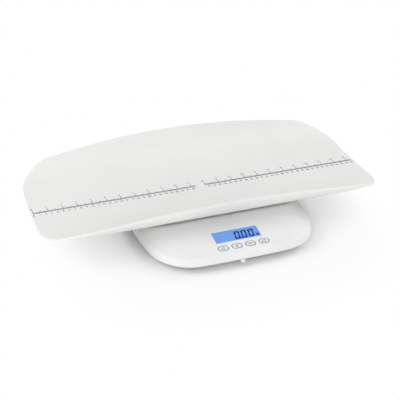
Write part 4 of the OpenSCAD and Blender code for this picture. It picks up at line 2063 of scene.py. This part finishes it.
@dataclass
class Keypad:
    """The four keys with their printed rings and icons."""

    console: Console
    cover: TopCover
    size: Flat = (18.0, 11.8)
    flange: float = 1.1
    flange_low: float = -3.8
    flange_thickness: float = 1.0
    proud: float = 0.4
    top_rise: float = 0.25
    crown: tuple[Flat, ...] = ((0.25, 0.1), (1.2, 0.03))
    margin: float = 0.15
    ring: float = 1.05
    ink: float = 0.04
    skin: float = 0.01
    pen: IconPen = field(default_factory=IconPen)

    def build_key(self, icon: Icon, x: float) -> Piece:
        """Make one key: a flange, and a stem with a rounded, slightly crowned top.

        Args:
            icon: What the key does.
            x: Its place along the console.

        Returns:
            The key.
        """
        whole = tuple(size + 2 * self.flange for size in self.size)
        key = slot_block(
            f"key_cap_{icon.value}", whole, (0, 0, self.flange_low), self.flange_thickness
        )
        stem = self.proud - self.flange_low - self.flange_thickness - self.top_rise
        with editing(key):
            pick(key, Part.FACE, faces_up)
            bpy.ops.mesh.inset(thickness=self.flange * MM)
            for rise in (stem, self.top_rise - sum(depth for _, depth in self.crown)):
                bpy.ops.mesh.extrude_region_move(
                    TRANSFORM_OT_translate={"value": (0, 0, rise * MM)}
                )
            for width, depth in self.crown:
                bpy.ops.mesh.inset(thickness=width * MM, depth=depth * MM)
        move(key, (x, -self.cover.key_drop, 0.0))
        smooth(key, angle=40)
        return self.console.lay_on(key)

    def lay(self, points: np.ndarray) -> np.ndarray:
        """Lay a print on the crowned top.

        Args:
            points: Its points, about the key's middle.

        Returns:
            Their places on the key.
        """
        length, width = self.size
        past_straight = np.maximum(np.abs(points[:, 0]) - (length - width) / 2, 0.0)
        inset = width / 2 - np.hypot(past_straight, points[:, 1])
        places, heights = np.cumsum([(0.0, 0.0), *self.crown], axis=0).T
        laid = points.copy()
        laid[:, 2] += self.proud - heights[-1] + np.interp(inset, places, heights) + self.skin
        return laid

    def build_print(self, icon: Icon, x: float) -> Piece:
        """Print a key's ring and icon.

        Args:
            icon: What the key does.
            x: Its place along the console.

        Returns:
            The print, as thin plates.
        """
        length, width = (size - 2 * self.margin for size in self.size)
        ring = flat_disc("ring", width / 2, sides=64)
        part_halves(ring, (length - width) / 2)
        hollow(ring, self.ring)
        printed = merge([ring, *self.pen.draw(icon)], f"key_print_{icon.value}")
        give_wall(printed, self.ink, side=1)
        reshape(printed, self.lay)
        move(printed, (x, -self.cover.key_drop, 0.0))
        return self.console.lay_on(printed)


# ---- Assembly ------------------------------------------------------------------------


@dataclass
class Assembly:
    """Builds the sub-assemblies in order and hangs each piece on its body."""

    shelf: FinishShelf = field(default_factory=FinishShelf)

    def hang(
        self, piece: Piece, finish: Finish, body: str, slot: str = "",
        stands_for: Sequence[str] = (),
    ) -> None:
        """Finish a piece and fix it to a CAD body.

        Args:
            piece: The piece.
            finish: Its finish.
            body: The CAD body that it moves with.
            slot: The record's material slot, if it has one; not used.
            stands_for: The CAD nodes that it replaces.
        """
        self.shelf.paint(piece, finish)
        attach(piece, body)
        if stands_for:
            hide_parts(*stands_for)
        LOG.info("%s: %d faces, on %s", piece.name, len(piece.data.polygons), body)

    def build_tray(self, tray: Tray) -> None:
        """Build the tray and its ruler."""
        self.hang(tray.build(), WHITE_TRAY, "tray", "tray_white", ["tray"])
        self.hang(Ruler(tray).build(), RULER_INK, "tray")

    def build_base(self, tray: Tray) -> None:
        """Build the top cover, the display and the keys.

        Args:
            tray: The tray that lies over the base.
        """
        console = Console()
        cover = TopCover(console, tray)
        self.hang(cover.build(), WHITE_COVER, "base", "cover_white", ["base_top_cover"])
        display = Display(console)
        self.hang(display.build_film(), LIT_FILM, "base", "lcd_blue")
        self.hang(display.build_digits(), SEGMENT_INK, "base")
        self.hang(display.build_window(), WINDOW, "base", "window", ["display_window"])
        keypad = Keypad(console, cover)
        for icon, x in zip(Icon, cover.key_places):
            node = f"key_{icon.value}"
            self.hang(keypad.build_key(icon, x), WHITE_KEY, node, "key_white", [node])
            self.hang(keypad.build_print(icon, x), ICON_INK, node)

    def build(self) -> None:
        """Build everything."""
        self.shelf.paint_frame()
        tray = Tray()
        self.build_tray(tray)
        self.build_base(tray)


def main() -> None:
    """Set up the studio and build the object."""
    logging.basicConfig(level=logging.INFO, format="%(message)s")
    Studio().set_up()
    Assembly().build()


if __name__ == "__main__":
    main()
